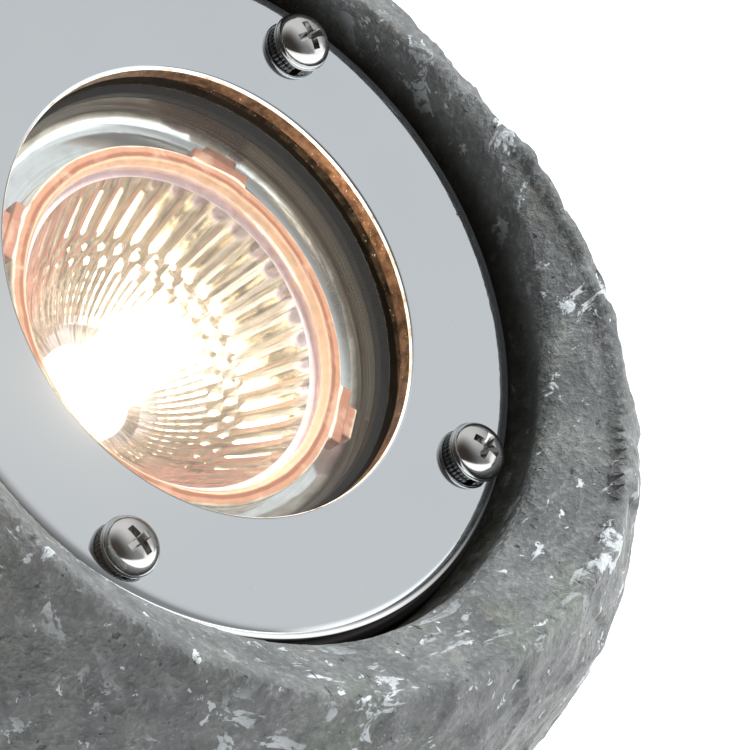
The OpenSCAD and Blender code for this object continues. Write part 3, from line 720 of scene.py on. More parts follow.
STONE = stone_material()
POLISHED = polished_material()
CUP_METAL = cup_material()
SCREW_METAL = metal("screw_metal", (0.56, 0.56, 0.555), 0.12, stain=0.3)
WASHER_METAL = metal("washer_metal", (0.15, 0.148, 0.145), 0.30, (1, 1, 6), 0.03, 0.5)
SHEET_METAL = metal("bracket_metal", (0.62, 0.62, 0.62), 0.25, (0.15, 3, 3), 0.01, 0.2)
BRASS = metal("turned_brass", (0.72, 0.48, 0.18), 0.20, (1, 1, 8), 0.02, 0.3)
COPPER = metal("copper_wire", (0.75, 0.36, 0.20), 0.25, (1, 1, 4), 0.01, 0.3)
BLACK_PLASTIC = moulded("black_housing", (0.012, 0.012, 0.013), 0.30)
BASE_PLASTIC = moulded("base_moulding", (0.03, 0.031, 0.034), 0.5, 0.8, 0.03)
GLAND_PLASTIC = moulded("gland_moulding", (0.02, 0.02, 0.022), 0.42)
GASKET = moulded("gasket_rubber", (0.005, 0.005, 0.005), 0.60, 0.5)
PAD_RUBBER = moulded("pad_rubber", (0.018, 0.018, 0.02), 0.65, 0.7, 0.05)
CABLE_RUBBER = moulded("cable_rubber", (0.012, 0.012, 0.013), 0.48, 0.4)
CORE_PLASTIC = moulded("core_insulation", (0.19, 0.085, 0.035), 0.4)
SLEEVING = moulded("glass_sleeving", (0.72, 0.71, 0.66), 0.6, 0.3, 0.05)
SEALANT = moulded("silicone", (0.62, 0.62, 0.61), 0.35, 1.5, 0.1)
SLUG_MIX = mineral("ballast_mortar", (0.50, 0.47, 0.42), (0.26, 0.25, 0.23))
CERAMIC = mineral("steatite", (0.80, 0.77, 0.70), (0.66, 0.63, 0.57), 0.6, 0.45, 0.03)
LAMP_CEMENT = mineral("lamp_cement", (0.82, 0.80, 0.74), (0.62, 0.59, 0.52), 0.8, 0.85, 0.08)
LENS = front_glass_material()
LIT_WALL = lit_wall_material()
EDGE_HIGHLIGHT = edge_highlight_material()
ROLLED_EDGE = rolled_edge_material()
LAMP_COVER = cover_glass_material()
PRESSED_GLASS = pressed_glass_material()
DICHROIC = dichroic_material()
QUARTZ = lit_quartz_material()
TUNGSTEN = tungsten_material()


# ---------------------------------------------------------------------- stone body

NOISE_SEED = 5  # without a seed, noise_vector takes its offsets from the clock
STROKES = Matrix.Rotation(math.radians(38), 3, "Y") @ Matrix.Rotation(math.radians(20), 3, "Z")
BELLY = Vector((0.70, -0.69, -0.14)).normalized()  # the pebble swells a little towards these two sides
SHOULDER = Vector((0.73, -0.54, 0.42)).normalized()


def facet_height(point, size, tilt):
    """Hewn facets: each cell is a small plane with a slope of its own."""
    nearest = noise.voronoi(point / size)[1][0]
    slope = noise.noise_vector(nearest * 7.3)
    return (point / size - nearest).dot(slope) * tilt * size


def hewn_relief(point):
    """How far the dressed surface stands out at a point, both in millimetres."""
    warped = point + noise.noise_vector(point / 9) * 2.2
    stroke = STROKES @ warped
    broad = noise.noise(point / 24) * 0.5
    facets = facet_height(warped, 9, 0.15) + facet_height(warped + Vector((31, 7, 19)), 4.6, 0.11)
    grooves = noise.noise(Vector((stroke.x / 8, stroke.y / 2.4, stroke.z / 2.4))) * 0.26
    grains = noise.noise(point / 2.1) * 0.16
    return broad + facets + grooves + grains


def pebble_swell(outward):
    """How far the pebble swells out of its sphere, by the direction from its centre."""
    belly = 1.9 * MM * smoothstep(0.87, 0.995, outward.dot(BELLY))
    shoulder = 1.2 * MM * smoothstep(0.955, 0.995, outward.dot(SHOULDER))
    return belly + shoulder


def lip_push(local):
    """How far the recess's lip stands in below and beside the bezel, at a place in the face frame."""
    radius = local.xy.length
    angle = math.degrees(math.atan2(local.y, local.x)) % 360
    side = smoothstep(215, 240, angle) * (1 - smoothstep(325, 355, angle))
    near = smoothstep(48 * MM, 49.2 * MM, radius) * (1 - smoothstep(51 * MM, 58 * MM, radius))
    return 0.9 * MM * side * near * smoothstep(0, 3 * MM, local.z)


def remeshed_stone():
    """The CAD stone with an even, fine mesh that can carry the relief."""
    obj = bpy.data.objects.new("stone_body", NODES["stone_shell"].data.copy())
    bpy.context.scene.collection.objects.link(obj)
    weld = obj.modifiers.new("weld", "WELD")
    weld.merge_threshold = 0.0001 * MM
    voxels = obj.modifiers.new("voxels", "REMESH")
    voxels.mode = "VOXEL"
    voxels.voxel_size = STONE_VOXEL
    bake_modifiers(obj)
    obj.data.materials.clear()
    return obj


class StoneSurface:
    """Moves the points of the stone by where they lie, and darkens the recess with painted shade."""

    def __init__(self):
        self.centre = Vector((0, 0, PEBBLE_HEIGHT))
        self.recess_low = Span("lamp_housing").high - RECESS_DEPTH
        self.base_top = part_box("base_plate")[1].z
        self.exit_depth = Span("cable_grommet").low + 8 * MM

    def in_recess(self, local):
        """1 on the recess's smooth wall and 0 outside its mouth."""
        if local.z < self.recess_low:
            return 0.0
        return 1 - smoothstep(MOUTH_R - 0.3 * MM, MOUTH_R + 1.0 * MM, local.xy.length)

    def dressed(self, point, normal, local):
        """1 on the pebble's outside and 0 inside it, at its foot and round the cable."""
        share = smoothstep(self.base_top - 2.5 * MM, self.base_top + 2 * MM, point.z)
        share *= smoothstep(0.05, 0.45, normal.dot((point - self.centre).normalized()))
        if local.z < self.exit_depth:
            share *= smoothstep(CABLE_EXIT, CABLE_EXIT + 3.5 * MM, local.xy.length)
        return share

    def move(self, point, normal, local):
        dressed = self.dressed(point, normal, local)
        recess = self.in_recess(local)
        relief = hewn_relief(point / MM) * MM * (dressed * (1 - recess) + 0.06 * recess)
        swell = pebble_swell((point - self.centre).normalized()) * dressed
        inwards = FACE.to_3x3() @ Vector((-local.x, -local.y, 0)).normalized()
        return normal * (relief + swell) + inwards * lip_push(local)

    def recess_shade(self, local):
        """How much painted shade darkens the recess's wall: black deep down, and stone grey at its mouth."""
        return self.in_recess(local) * (1 - smoothstep(-1.0 * MM, MOUTH_H - 1.0 * MM, local.z))


def stone_body():
    """The hewn pebble with its smooth recess, darkened by painted shade."""
    obj = remeshed_stone()
    mesh = obj.data
    surface = StoneSurface()
    places = [FACE_INVERSE @ v.co for v in mesh.vertices]
    moves = [surface.move(v.co, v.normal, place) for v, place in zip(mesh.vertices, places)]
    # each point keeps how much painted shade the recess gives it
    recess_shade = mesh.attributes.new("recess_shade", "FLOAT", "POINT")
    recess_shade.data.foreach_set("value", [surface.recess_shade(place) for place in places])
    for vertex, move in zip(mesh.vertices, moves):
        vertex.co += move
    mesh.polygons.foreach_set("use_smooth", [True] * len(mesh.polygons))
    add_piece(obj, "body", ["stone_shell"], "stone", STONE)


# ---------------------------------------------------------------------- bezel and screws

def bezel_profile(span):
    """The ring's section: rolled at both edges, with a skirt down each of them and hollow between."""
    r_in, r_out, low = span.r_in, span.r_out, span.low
    profile = [(r_in, low)]
    profile += arc((r_in + INNER_ROLL, -INNER_ROLL), INNER_ROLL, 180, 90, 8)
    for r, h in arc((0, -OUTER_ROLL), OUTER_ROLL, 90, 0, 12):
        profile.append((r_out + 2 * (r - OUTER_ROLL), h))
    bend = SHEET + SHEET_BEND
    profile += [(r_out, low), (r_out - SHEET, low), (r_out - SHEET, -bend)]
    profile += [(r_out - bend, -SHEET), (r_in + bend, -SHEET)]
    profile += [(r_in + SHEET, -bend), (r_in + SHEET, low)]
    return profile


def bezel():
    """A pressed ring of sheet with rolled edges, an open back and four screw holes."""
    span = Span("bezel_ring")
    bm = revolve(bezel_profile(span), 256)
    for face in bm.faces:
        middle = face.calc_center_median()
        radius = middle.xy.length
        # the inner wall gets painted lamp light, the inner roll a painted highlight, and the outer roll a
        # painted highlight and painted shade
        if radius < span.r_in + 0.2 * MM and middle.z > span.low + 0.1 * MM:
            face.material_index = 1 if middle.z < -INNER_ROLL else 2
        if radius > span.r_out - 2 * OUTER_ROLL and middle.z < 0:
            face.material_index = 3
    obj = to_object(bm, "bezel", FACE)
    holes = []
    for n in SCREWS:
        low, high = -3 * MM, 1 * MM
        hole = revolve([(0, low), (HOLE_R, low), (HOLE_R, high), (0, high)], 48, False)
        holes.append(to_object(hole, f"hole_{n}", screw_place(n)))
    combine(obj, holes, "DIFFERENCE")
    shade(obj)
    add_piece(obj, "cover", ["bezel_ring"], "bezel_steel", POLISHED, LIT_WALL, EDGE_HIGHLIGHT, ROLLED_EDGE)


def thread_rings(bm, radius, low, high, steps):
    """Rings of a screw thread, from the blunt tip up to the plain neck under the head."""
    tip_r = radius - THREAD_DEPTH - 0.3 * MM
    rings = [ring(bm, 0, low, steps), ring(bm, tip_r, low, steps)]
    count = round((high - low) / SCREW_PITCH * 8)
    for i in range(1, count):
        height = low + (high - low) * i / count
        from_tip = (height - low) / SCREW_PITCH
        from_neck = (high - height) / SCREW_PITCH
        ends = smoothstep(0, 1.2, from_tip) * smoothstep(0, 1.0, from_neck)
        verts = []
        for k in range(steps):
            phase = (height / SCREW_PITCH - k / steps) % 1.0
            crest = min(1.0, abs(2 * phase - 1) * 1.25)
            r = radius - 0.02 * MM - THREAD_DEPTH * (1 - crest * ends)
            a = TURN * k / steps
            verts.append(bm.verts.new((r * math.cos(a), r * math.sin(a), height)))
        rings.append(verts)
    return rings


def tapered_arm(length, width, depth, top, angle):
    """One wedge of the cross recess: long and wide at the top, shorter and narrower at the bottom."""
    bm = bmesh.new()
    levels = (
        (top, length, width),
        (top - depth * 0.55, length * 0.72, width * 0.88),
        (top - depth, length * 0.35, width * 0.6),
    )
    rings = []
    for z, half, wide in levels:
        corners = ((-half, -wide / 2), (half, -wide / 2), (half, wide / 2), (-half, wide / 2))
        rings.append([bm.verts.new((x, y, z)) for x, y in corners])
    skin(bm, rings)
    bm.faces.new(rings[0])
    bm.faces.new(rings[-1])
    bmesh.ops.recalc_face_normals(bm, faces=bm.faces)
    return to_object(bm, "arm", Matrix.Rotation(angle, 4, "Z"))


def head_profile(head_r, seat, top):
    """A pan head from its neck, round the rolled rim and over the dome."""
    neck_r = SHANK_R - NECK_DEPTH
    under, over = 0.22 * MM, 0.3 * MM
    profile = [(neck_r, seat - 0.5 * MM), (neck_r, seat)]
    profile += arc((head_r - under, seat + under), under, -90, 0, 4)
    profile += arc((head_r - over, seat + HEAD_RIM - over), over, 0, 55, 4)
    edge_r, edge_h = profile[-1]
    steps = 16
    for i in range(1, steps):
        a = math.pi / 2 * i / steps
        profile.append((edge_r * math.cos(a) ** 0.94, edge_h + (top - edge_h) * math.sin(a) ** 1.06))
    profile.append((0, top))
    return profile


def pan_screw(number):
    """A pan-head screw with a rolled rim, a cross recess and a rolled thread."""
    span = Span(f"bezel_screw_{number}", FACE_INVERSE @ screw_centre(number))
    seat = Span(f"spring_washer_{number}").high
    steps = 64
    bm = bmesh.new()
    rings = thread_rings(bm, SHANK_R, span.low, seat - 0.6 * MM, steps)
    rings += [ring(bm, r, h, steps) for r, h in head_profile(span.r_out, seat, span.high)]
    skin(bm, rings)
    bmesh.ops.recalc_face_normals(bm, faces=bm.faces)
    obj = to_object(bm, f"pan_screw_{number}")
    turn = math.radians(CROSS_TURNS[number])
    above = span.high + 0.2 * MM
    arms = [tapered_arm(*CROSS, above, turn + quarter) for quarter in (0, math.pi / 2)]
    combine(obj, arms, "DIFFERENCE")
    obj.data.transform(screw_place(number))
    shade(obj, 30)
    add_piece(obj, f"screw_{number}", [f"bezel_screw_{number}"], "screw_steel", SCREW_METAL)


def lock_washer(number):
    """A split spring washer: a square bar bent round the shank, its ends sprung apart, its edge serrated."""
    span = Span(f"spring_washer_{number}", FACE_INVERSE @ screw_centre(number))
    gap_half = math.radians(9)
    start = math.radians(245)
    steps = 108
    lift = 0.10 * MM
    tooth = 0.10 * MM
    bevel = 0.12 * MM
    seat = span.low + 0.01 * MM
    thick = span.high - seat - lift
    bm = bmesh.new()
    rings = []
    for i in range(steps + 1):
        share = i / steps
        a = start + gap_half + (TURN - 2 * gap_half) * share
        low = seat + lift * share
        high = low + thick
        inner = span.r_in
        outer = span.r_out - (tooth if i % 3 == 0 else 0.0)
        section = (
            (inner + bevel, low),
            (outer - bevel, low),
            (outer, low + bevel),
            (outer, high - bevel),
            (outer - bevel, high),
            (inner + bevel, high),
            (inner, high - bevel),
            (inner, low + bevel),
        )
        rings.append([bm.verts.new((r * math.cos(a), r * math.sin(a), h)) for r, h in section])
    skin(bm, rings)
    bm.faces.new(rings[0])
    bm.faces.new(rings[-1])
    bmesh.ops.recalc_face_normals(bm, faces=bm.faces)
    obj = to_object(bm, f"lock_washer_{number}", screw_place(number))
    shade(obj, 30)
    add_piece(obj, f"washer_{number}", [f"spring_washer_{number}"], "washer_steel", WASHER_METAL)


# ---------------------------------------------------------------------- lamp

def lamp_axis():
    """The lamp's axis in the face frame, a little below the middle of the bezel."""
    return Vector((0, face_middle("lamp_pins").y, 0))


def lamp_place(height=0.0):
    """A frame on the lamp's axis, parallel to the face's, at a height above the bezel's front."""
    return FACE @ Matrix.Translation(lamp_axis() + Vector((0, 0, height)))


def dome(share):
    """A round bump across one pitch, 1 in the middle and 0 at both ends."""
    return 1 - (2 * share - 1) ** 2


class Bowl:
    """The curve of the reflector: a square-root bowl from the cover glass down to the neck."""

    def __init__(self):
        span = Span("lamp_reflector", lamp_axis())
        self.rim = span.high
        self.length = span.high - span.low
        self.depth = self.length - NECK_LENGTH
        self.neck_in = NECK_R - GLASS
        self.cover_r = Span("lamp_cover_glass", lamp_axis()).r_out

    def radius(self, depth):
        share = max(0.0, 1 - depth / self.depth)
        return self.neck_in + (self.cover_r - self.neck_in) * math.sqrt(share)


def bowl_rows(bowl):
    """(depth, pattern, place down the facet, row of facets) from the cover glass down to the neck."""
    starts = [depth * MM for depth in FACET_ROWS]
    zones = [(COVER_INSET, starts[0], "rib", 14)]
    for top, bottom in zip(starts, starts[1:]):
        zones.append((top, bottom, "facet" if bottom < SMALL_FACETS else "small", 6))
    rows = []
    for number, (top, bottom, pattern, steps) in enumerate(zones):
        for i in range(steps):
            rows.append((top + (bottom - top) * i / steps, pattern, i / steps, number))
    rows.append((starts[-1], "plain", 0, 0))
    rows.append((bowl.depth, "plain", 0, 0))
    return rows


def facet_swell(pattern, across, down):
    """How far the pattern stands out, from 0 to 1. across and down are places within one facet."""
    if pattern == "rib":
        return dome(across) * smoothstep(0, 0.14, down)
    if pattern == "facet":
        return 0.9 * dome(across) * (0.35 + 0.65 * dome(down))
    if pattern == "small":
        return 0.7 * dome(across) * (0.3 + 0.7 * dome(down))
    return 0.0


def coated_rings(bm, bowl, steps):
    """The bowl's inside with its ribs and facets. Every other row is turned by half a pitch."""
    rings = []
    for depth, pattern, down, row in bowl_rows(bowl):
        small = pattern == "small"
        base = bowl.radius(depth)
        size = RIB_SWELL * base / bowl.cover_r * (0.6 if small else 1.0)
        verts = []
        for k in range(steps):
            pitches = k / RIB_STEPS + (0.5 if row % 2 else 0.0)
            if small:
                pitches *= 2
            r = base - facet_swell(pattern, pitches % 1.0, down) * size
            a = TURN * k / steps
            verts.append(bm.verts.new((r * math.cos(a), r * math.sin(a), -depth)))
        rings.append(verts)
    return rings


def shell_profile(bowl):
    """The reflector's outside, from the foot of its neck up to the rim and in to the cover's seat."""
    foot = -bowl.length
    chamfer = 0.3 * MM
    profile = [(bowl.neck_in, foot), (NECK_R - chamfer, foot), (NECK_R, foot + chamfer)]
    highest = LAMP_RIM + 0.4 * MM
    steps = 18
    for i in range(steps + 1):
        depth = bowl.depth - (bowl.depth - highest) * i / steps
        profile.append((min(bowl.radius(depth) + GLASS, LAMP_RIM_R - 0.3 * MM), -depth))
    edge = 0.5 * MM
    seat_r = bowl.cover_r + 0.1 * MM
    profile.append((LAMP_RIM_R, -LAMP_RIM))
    profile += arc((LAMP_RIM_R - edge, -edge), edge, 0, 90, 5)
    profile += arc((seat_r + 0.9 * MM, -edge), edge, 90, 170, 4)
    profile += [(seat_r, -1.0 * MM), (seat_r, -COVER_INSET)]
    return profile


def reflector():
    """The pressed bowl with its coated inside, its rim and its four lugs."""
    bowl = Bowl()
    steps = RIBS * RIB_STEPS
    bm = bmesh.new()
    inside = coated_rings(bm, bowl, steps)
    coated = skin(bm, inside)
    outside = [ring(bm, r, h, steps) for r, h in shell_profile(bowl)]
    skin(bm, [inside[-1]] + outside + [inside[0]])
    for face in coated:
        face.material_index = 1
    bmesh.ops.recalc_face_normals(bm, faces=bm.faces)
    obj = to_object(bm, "reflector")
    combine(obj, lamp_lugs(), "UNION")
    mark_lamp(obj.data)
    obj.data.transform(lamp_place(bowl.rim))
    shade(obj, 32)
    add_piece(obj, "lamp", ["lamp_reflector"], "dichroic_glass", PRESSED_GLASS, DICHROIC)


def mark_lamp(mesh):
    """Distance from the lamp's axis in millimetres, and the place round it in ribs, for the materials."""
    reach = mesh.attributes.new("reach", "FLOAT", "POINT")
    pleat = mesh.attributes.new("pleat", "FLOAT", "POINT")
    reach.data.foreach_set("value", [v.co.xy.length / MM for v in mesh.vertices])
    pleat.data.foreach_set("value", [math.atan2(v.co.y, v.co.x) / TURN * RIBS for v in mesh.vertices])


def lug_turn():
    """The angle of the first lug, from the corners of the CAD reflector farthest out from its axis."""
    axis = lamp_axis()
    points = [FACE_INVERSE @ v.co - axis for v in NODES["lamp_reflector"].data.vertices]
    reach = max(p.xy.length for p in points)
    tips = [math.atan2(p.y, p.x) % (TURN / 4) for p in points if p.xy.length > reach - 0.05 * MM]
    return (min(tips) + max(tips)) / 2


def lamp_lugs():
    """Four stepped lugs on the rim, each a wide base with a narrower and thinner tab."""
    first = lug_turn()
    blocks = (  # width, inner and outer radius, depth of the underside and of the top
        (8.4 * MM, LAMP_RIM_R - 1.4 * MM, 26.0 * MM, 2.7 * MM, 0.0),
        (4.8 * MM, LAMP_RIM_R - 1.2 * MM, 27.6 * MM, 2.2 * MM, 0.5 * MM),
    )
    lugs = []
    for n in range(4):
        for width, inner, outer, under, top in blocks:
            bm = bmesh.new()
            bmesh.ops.create_cube(bm, size=1.0)
            bmesh.ops.scale(bm, vec=(outer - inner, width, under - top), verts=bm.verts)
            bmesh.ops.translate(bm, vec=((outer + inner) / 2, 0, -(under + top) / 2), verts=bm.verts)
            bmesh.ops.bevel(bm, geom=bm.edges, offset=0.35 * MM, segments=3, profile=0.5, affect="EDGES")
            lugs.append(to_object(bm, "lug", Matrix.Rotation(first + n * TURN / 4, 4, "Z")))
    return lugs


def coil():
    """The tungsten coil across the capsule, with its two legs, as one swept wire."""
    span = Span("filament")
    leg_x = 2.1 * MM
    coil_r = 0.72 * MM
    wire_r = 0.16 * MM
    turns = 11
    steps = turns * 12
    middle = span.high - coil_r - wire_r
    heights = (middle - 0.8 * MM, middle - 2 * MM, span.low)
    path = [Vector((-leg_x, 0, height)) for height in reversed(heights)]
    for i in range(steps + 1):
        share = i / steps
        a = TURN * turns * share - math.pi / 2
        x = (leg_x - 0.2 * MM) * (2 * share - 1)
        path.append(Vector((x, coil_r * math.cos(a), middle + coil_r * math.sin(a))))
    path += [Vector((leg_x, 0, height)) for height in heights]
    obj = to_object(sweep(path, wire_r, 8), "filament_coil", lamp_place())
    shade(obj, 60)
    add_piece(obj, "lamp", ["filament"], "tungsten", TUNGSTEN)


def capsule():
    """The quartz bulb: a tube with a domed end, drawn to a small nipple, on a flat pinch."""
    span = Span("halogen_capsule", lamp_axis())
    r, tip, low = span.r_out, span.high, span.low
    wall = 0.8 * MM
    nipple = 0.9 * MM
    pinch = 0.6 * MM
    dome_middle = (0, tip - nipple - r * 0.95)
    outer = [(r * 0.72, low), (r * 0.80, low + pinch)]
    for share in (i / 6 for i in range(1, 7)):
        outer.append((r * (0.80 + 0.20 * smoothstep(0, 1, share)), low + pinch + 3 * MM * share))
    outer += arc(dome_middle, r, 6, 74, 10)
    outer += [(r * 0.19, tip - 0.75 * nipple), (r * 0.12, tip - 0.3 * nipple), (0, tip)]
    inner = [(0, tip - nipple - wall)]
    inner += arc(dome_middle, r - wall, 74, 6, 8)
    inner += [(r - wall, low + 4 * MM), (r * 0.6, low + 1.2 * MM), (r * 0.6, low)]
    bm = bmesh.new()
    skin(bm, [ring(bm, across, height, 64) for across, height in outer[::-1] + inner[::-1]])
    bmesh.ops.recalc_face_normals(bm, faces=bm.faces)
    obj = to_object(bm, "capsule", lamp_place())
    shade(obj, 50)
    add_piece(obj, "lamp", ["halogen_capsule"], "quartz", QUARTZ)


# ---------------------------------------------------------------------- cable

def sweep(path, radius, sides):
    """A round bar along a path of points, closed at both ends."""
    bm = bmesh.new()
    rings = []
    tangent = (path[1] - path[0]).normalized()
    normal = tangent.orthogonal().normalized()
    for i, point in enumerate(path):
        before = path[max(i - 1, 0)]
        after = path[min(i + 1, len(path) - 1)]
        heading = (after - before).normalized()
        normal = (normal - heading * normal.dot(heading)).normalized()
        side = heading.cross(normal)
        verts = []
        for k in range(sides):
            a = TURN * k / sides
            verts.append(bm.verts.new(point + (normal * math.cos(a) + side * math.sin(a)) * radius))
        rings.append(verts)
    skin(bm, rings)
    bm.faces.new(rings[0])
    bm.faces.new(rings[-1])
    bmesh.ops.recalc_face_normals(bm, faces=bm.faces)
    return bm


def cable_path():
    """Down the face's axis, round the bend and along the ground, to the CAD cable's own ends."""
    down = -(FACE.to_3x3() @ Vector((0, 0, 1)))
    start = FACE @ Vector((0, 0, Span("supply_cable").high))
    tilt = math.atan2(-down.z, down.y)
    drop = FACE.translation.z - CABLE_R - CABLE_BEND * (1 - math.cos(tilt))
    bend_start = FACE.translation + down * (drop / math.sin(tilt))
    centre = Vector((0, bend_start.y + CABLE_BEND * math.sin(tilt), CABLE_R + CABLE_BEND))
    points = [start + (bend_start - start) * i / 12 for i in range(12)]
    for i in range(17):
        a = tilt * (1 - i / 16)
        points.append(centre + Vector((0, -math.sin(a), -math.cos(a))) * CABLE_BEND)
    bend_end = points[-1]
    end = Vector((0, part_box("supply_cable")[1].y, CABLE_R))
    return points + [bend_end + (end - bend_end) * i / 12 for i in range(1, 13)]


def core_holes(path):
    """Cutters that open the jacket's two ends for the cores."""
    low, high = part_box("cable_cores")
    spread = (high.x - low.x) / 2 - CORE_R
    holes = []
    for end, neighbour in ((path[0], path[1]), (path[-1], path[-2])):
        inward = (neighbour - end).normalized()
        for side in (-spread, spread):
            middle = end + Vector((side, 0, 0))
            line = [middle - inward * MM, middle + inward * CORE_DEPTH]
            holes.append(to_object(sweep(line, CORE_R, 24), "core_hole"))
    return holes


def cable():
    """The rubber jacket, with its ends open for the CAD cores."""
    path = cable_path()
    obj = to_object(sweep(path, CABLE_R, 40), "cable_jacket")
    combine(obj, core_holes(path), "DIFFERENCE")
    shade(obj, 40)
    add_piece(obj, "body", ["supply_cable"], "cable_rubber", CABLE_RUBBER)


# ---------------------------------------------------------------------- CAD nodes

def crisp_edges():
    """A node group that shades smooth but keeps edges sharper than 35 degrees crisp."""
    group = bpy.data.node_groups.new("crisp_edges", "GeometryNodeTree")
    group.interface.new_socket("Geometry", in_out="INPUT", socket_type="NodeSocketGeometry")
    group.interface.new_socket("Geometry", in_out="OUTPUT", socket_type="NodeSocketGeometry")
    nodes, links = group.nodes, group.links
    source = nodes.new("NodeGroupInput")
    result = nodes.new("NodeGroupOutput")
    smooth = nodes.new("GeometryNodeSetShadeSmooth")
    sharp = nodes.new("GeometryNodeSetShadeSmooth")
    sharp.domain = "EDGE"
    sharp.inputs["Shade Smooth"].default_value = False
    angle = nodes.new("GeometryNodeInputMeshEdgeAngle")
    compare = nodes.new("FunctionNodeCompare")
    compare.data_type = "FLOAT"
    compare.operation = "GREATER_THAN"
    compare.inputs[1].default_value = math.radians(35)
    links.new(source.outputs[0], smooth.inputs["Geometry"])
    links.new(smooth.outputs[0], sharp.inputs["Geometry"])
    links.new(angle.outputs["Unsigned Angle"], compare.inputs[0])
    links.new(compare.outputs[0], sharp.inputs["Selection"])
    links.new(sharp.outputs[0], result.inputs[0])
    return group


CRISP = crisp_edges()


def dress(node, material, edge=0.0):
    """Gives a CAD node its material, soft edges and smooth shading. Its mesh stays as it is."""
    obj = NODES[node]
    obj.data.materials.clear()
    obj.data.materials.append(material)
    weld = obj.modifiers.new("weld", "WELD")
    weld.merge_threshold = 0.002 * MM
    if edge:
        round_edges(obj, edge)
    step = obj.modifiers.new("crisp", "NODES")
    step.node_group = CRISP
    normals = obj.modifiers.new("normals", "WEIGHTED_NORMAL")
    normals.keep_sharp = True


CAD_FINISH = {
    "base_plate": (BASE_PLASTIC, 0.3),
    "resting_pad": (PAD_RUBBER, 0.3),
    "ballast_slug": (SLUG_MIX, 0.5),
    "cable_grommet": (GASKET, 0.3),
    "lamp_housing": (BLACK_PLASTIC, 0.0),
    "housing_bond": (SEALANT, 0.15),
    "thread_inserts": (BRASS, 0.1),
    "cup_liner": (CUP_METAL, 0.0),
    "gland_body": (GLAND_PLASTIC, 0.2),
    "gland_seal": (GASKET, 0.2),
    "gland_nut": (GLAND_PLASTIC, 0.3),
    "cable_cores": (CORE_PLASTIC, 0.05),
    "core_conductors": (COPPER, 0.1),
    "holder_bracket": (SHEET_METAL, 0.15),
    "bracket_screws": (SCREW_METAL, 0.15),
    "lampholder": (CERAMIC, 0.4),
    "holder_contacts": (BRASS, 0.1),
    "lead_wires": (SLEEVING, 0.0),
    "crimp_sleeves": (COPPER, 0.15),
    "lamp_cover_glass": (LAMP_COVER, 0.0),
    "lamp_cement": (LAMP_CEMENT, 0.3),
    "lamp_pins": (SCREW_METAL, 0.15),
    "rear_gasket": (GASKET, 0.2),
    "lens_glass": (LENS, 0.0),
    "front_gasket": (GASKET, 0.2),
}


# ---------------------------------------------------------------------- studio

VIEW_AZIMUTH = -43.55
VIEW_ELEVATION = 15.5
VIEW_DISTANCE = 0.6207
VIEW_POINT = Vector((12.6, -17.43, 7.42)) * MM  # in the face frame: right of, below and in front of the bezel
LENS_LENGTH = 240
SENSOR = 36

KEY_OFFSET = Vector((0.36, -0.40, 0.84)) * 0.9  # of the key light from the bezel's middle
KEY_SIZE = 0.30
KEY_POWER = 11.5

STUDIO_GREY = (0.35, 0.355, 0.36)
STUDIO_PATCHES = (  # direction, cosines at which the patch starts and is full, colour
    ((0, 0, 1), 0.3, 0.95, (1.0, 1.0, 1.0)),  # the ceiling
    ((0.70, -0.58, 0.38), 0.86, 1.0, (0.87, 0.87, 0.87)),  # the window that the bezel mirrors
    ((0.66, -0.55, -0.02), 0.92, 0.98, (1.7, 1.7, 1.7)),  # a bright card low at the right
    ((-0.80, -0.42, 0.30), 0.20, 0.94, (0.06, 0.052, 0.046)),  # the dark side, left of the camera
)


def view_direction(azimuth, elevation):
    """From the object to a camera at these angles, in degrees. Azimuth 0 is in front of the light."""
    a, e = math.radians(azimuth), math.radians(elevation)
    return Vector((math.sin(a) * math.cos(e), -math.cos(a) * math.cos(e), math.sin(e)))


def camera():
    data = bpy.data.cameras.new("camera")
    data.lens = LENS_LENGTH
    data.sensor_width = SENSOR
    data.clip_start = 0.01
    obj = bpy.data.objects.new("camera", data)
    bpy.context.scene.collection.objects.link(obj)
    away = view_direction(VIEW_AZIMUTH, VIEW_ELEVATION)
    obj.location = FACE @ VIEW_POINT + away * VIEW_DISTANCE
    obj.rotation_euler = away.to_track_quat("Z", "Y").to_euler()
    bpy.context.scene.camera = obj


def floor():
    bm = bmesh.new()
    bmesh.ops.create_grid(bm, x_segments=8, y_segments=8, size=12)
    obj = to_object(bm, "floor")
    obj.data.materials.append(floor_material())


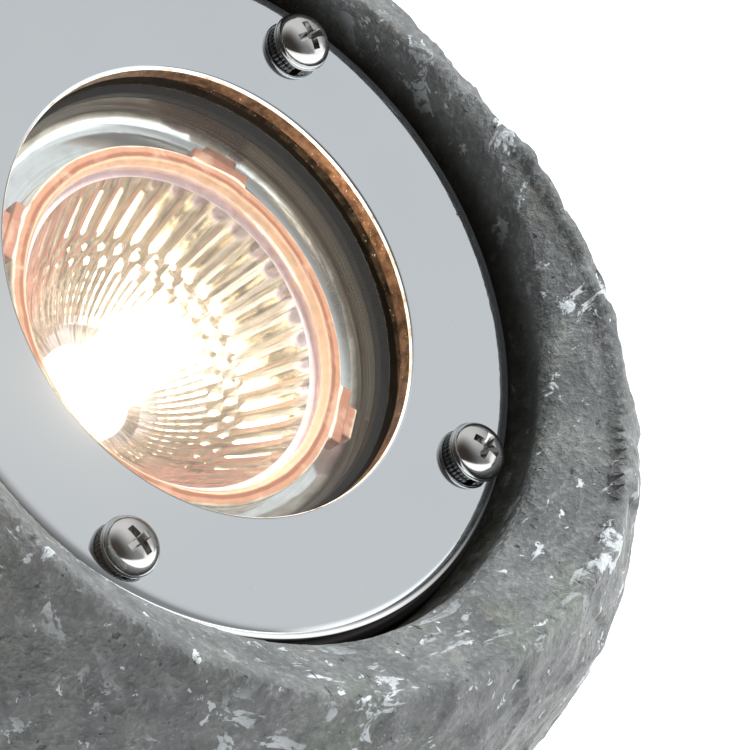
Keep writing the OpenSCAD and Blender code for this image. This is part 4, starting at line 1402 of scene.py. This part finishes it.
def world():
    """A grey studio with soft patches of light and shade, for the steel to mirror."""
    data = bpy.data.worlds.new("studio")
    data.use_nodes = True
    bpy.context.scene.world = data
    nodes, links = data.node_tree.nodes, data.node_tree.links
    nodes.clear()

    def add(kind, **settings):
        node = nodes.new("ShaderNode" + kind)
        for key, value in settings.items():
            setattr(node, key, value)
        return node

    def blob(direction, low, high):
        """1 towards a direction and 0 away from it."""
        dot = add("VectorMath", operation="DOT_PRODUCT")
        links.new(place.outputs["Generated"], dot.inputs[0])
        dot.inputs[1].default_value = Vector(direction).normalized()
        span = add("MapRange", interpolation_type="SMOOTHSTEP")
        links.new(dot.outputs["Value"], span.inputs["Value"])
        span.inputs["From Min"].default_value = low
        span.inputs["From Max"].default_value = high
        return span.outputs["Result"]

    def mix(factor, a, b):
        node = add("Mix", data_type="RGBA")
        links.new(factor, node.inputs[0])
        for socket, value in ((node.inputs[6], a), (node.inputs[7], b)):
            if isinstance(value, bpy.types.NodeSocket):
                links.new(value, socket)
            else:
                socket.default_value = (*value, 1)
        return node.outputs[2]

    place = add("TexCoord")
    colour = STUDIO_GREY
    for direction, low, high, tone in STUDIO_PATCHES:
        colour = mix(blob(direction, low, high), colour, tone)
    background = add("Background")
    links.new(colour, background.inputs["Color"])
    out = add("OutputWorld")
    links.new(background.outputs[0], out.inputs["Surface"])


def key_light():
    """A soft disk over the right front, out of the camera's sight and out of the mirrors."""
    data = bpy.data.lights.new("key", "AREA")
    data.shape = "DISK"
    data.size = KEY_SIZE
    data.energy = KEY_POWER
    obj = bpy.data.objects.new("key", data)
    bpy.context.scene.collection.objects.link(obj)
    obj.location = FACE.translation + KEY_OFFSET
    obj.rotation_euler = KEY_OFFSET.to_track_quat("Z", "Y").to_euler()
    obj.visible_camera = False
    obj.visible_glossy = False


def glare():
    """The soft bloom of the lit lamp."""
    scene = bpy.context.scene
    scene.use_nodes = True
    nodes, links = scene.node_tree.nodes, scene.node_tree.links
    nodes.clear()
    layers = nodes.new("CompositorNodeRLayers")
    bloom = nodes.new("CompositorNodeGlare")
    bloom.glare_type = "BLOOM"
    bloom.quality = "HIGH"
    bloom.inputs["Threshold"].default_value = 1.6
    bloom.inputs["Strength"].default_value = 0.20
    bloom.inputs["Size"].default_value = 0.45
    out = nodes.new("CompositorNodeComposite")
    links.new(layers.outputs["Image"], bloom.inputs["Image"])
    links.new(bloom.outputs["Image"], out.inputs["Image"])


def picture_settings():
    scene = bpy.context.scene
    scene.view_settings.view_transform = "Standard"
    scene.view_settings.look = "None"
    scene.cycles.sample_clamp_indirect = 6.0


# ---------------------------------------------------------------------- build

noise.seed_set(NOISE_SEED)
stone_body()
bezel()
for number in SCREWS:
    pan_screw(number)
    lock_washer(number)
reflector()
coil()
capsule()
cable()
for node_name, (finish, edge_mm) in CAD_FINISH.items():
    dress(node_name, finish, edge_mm * MM)
camera()
floor()
world()
key_light()
glare()
picture_settings()
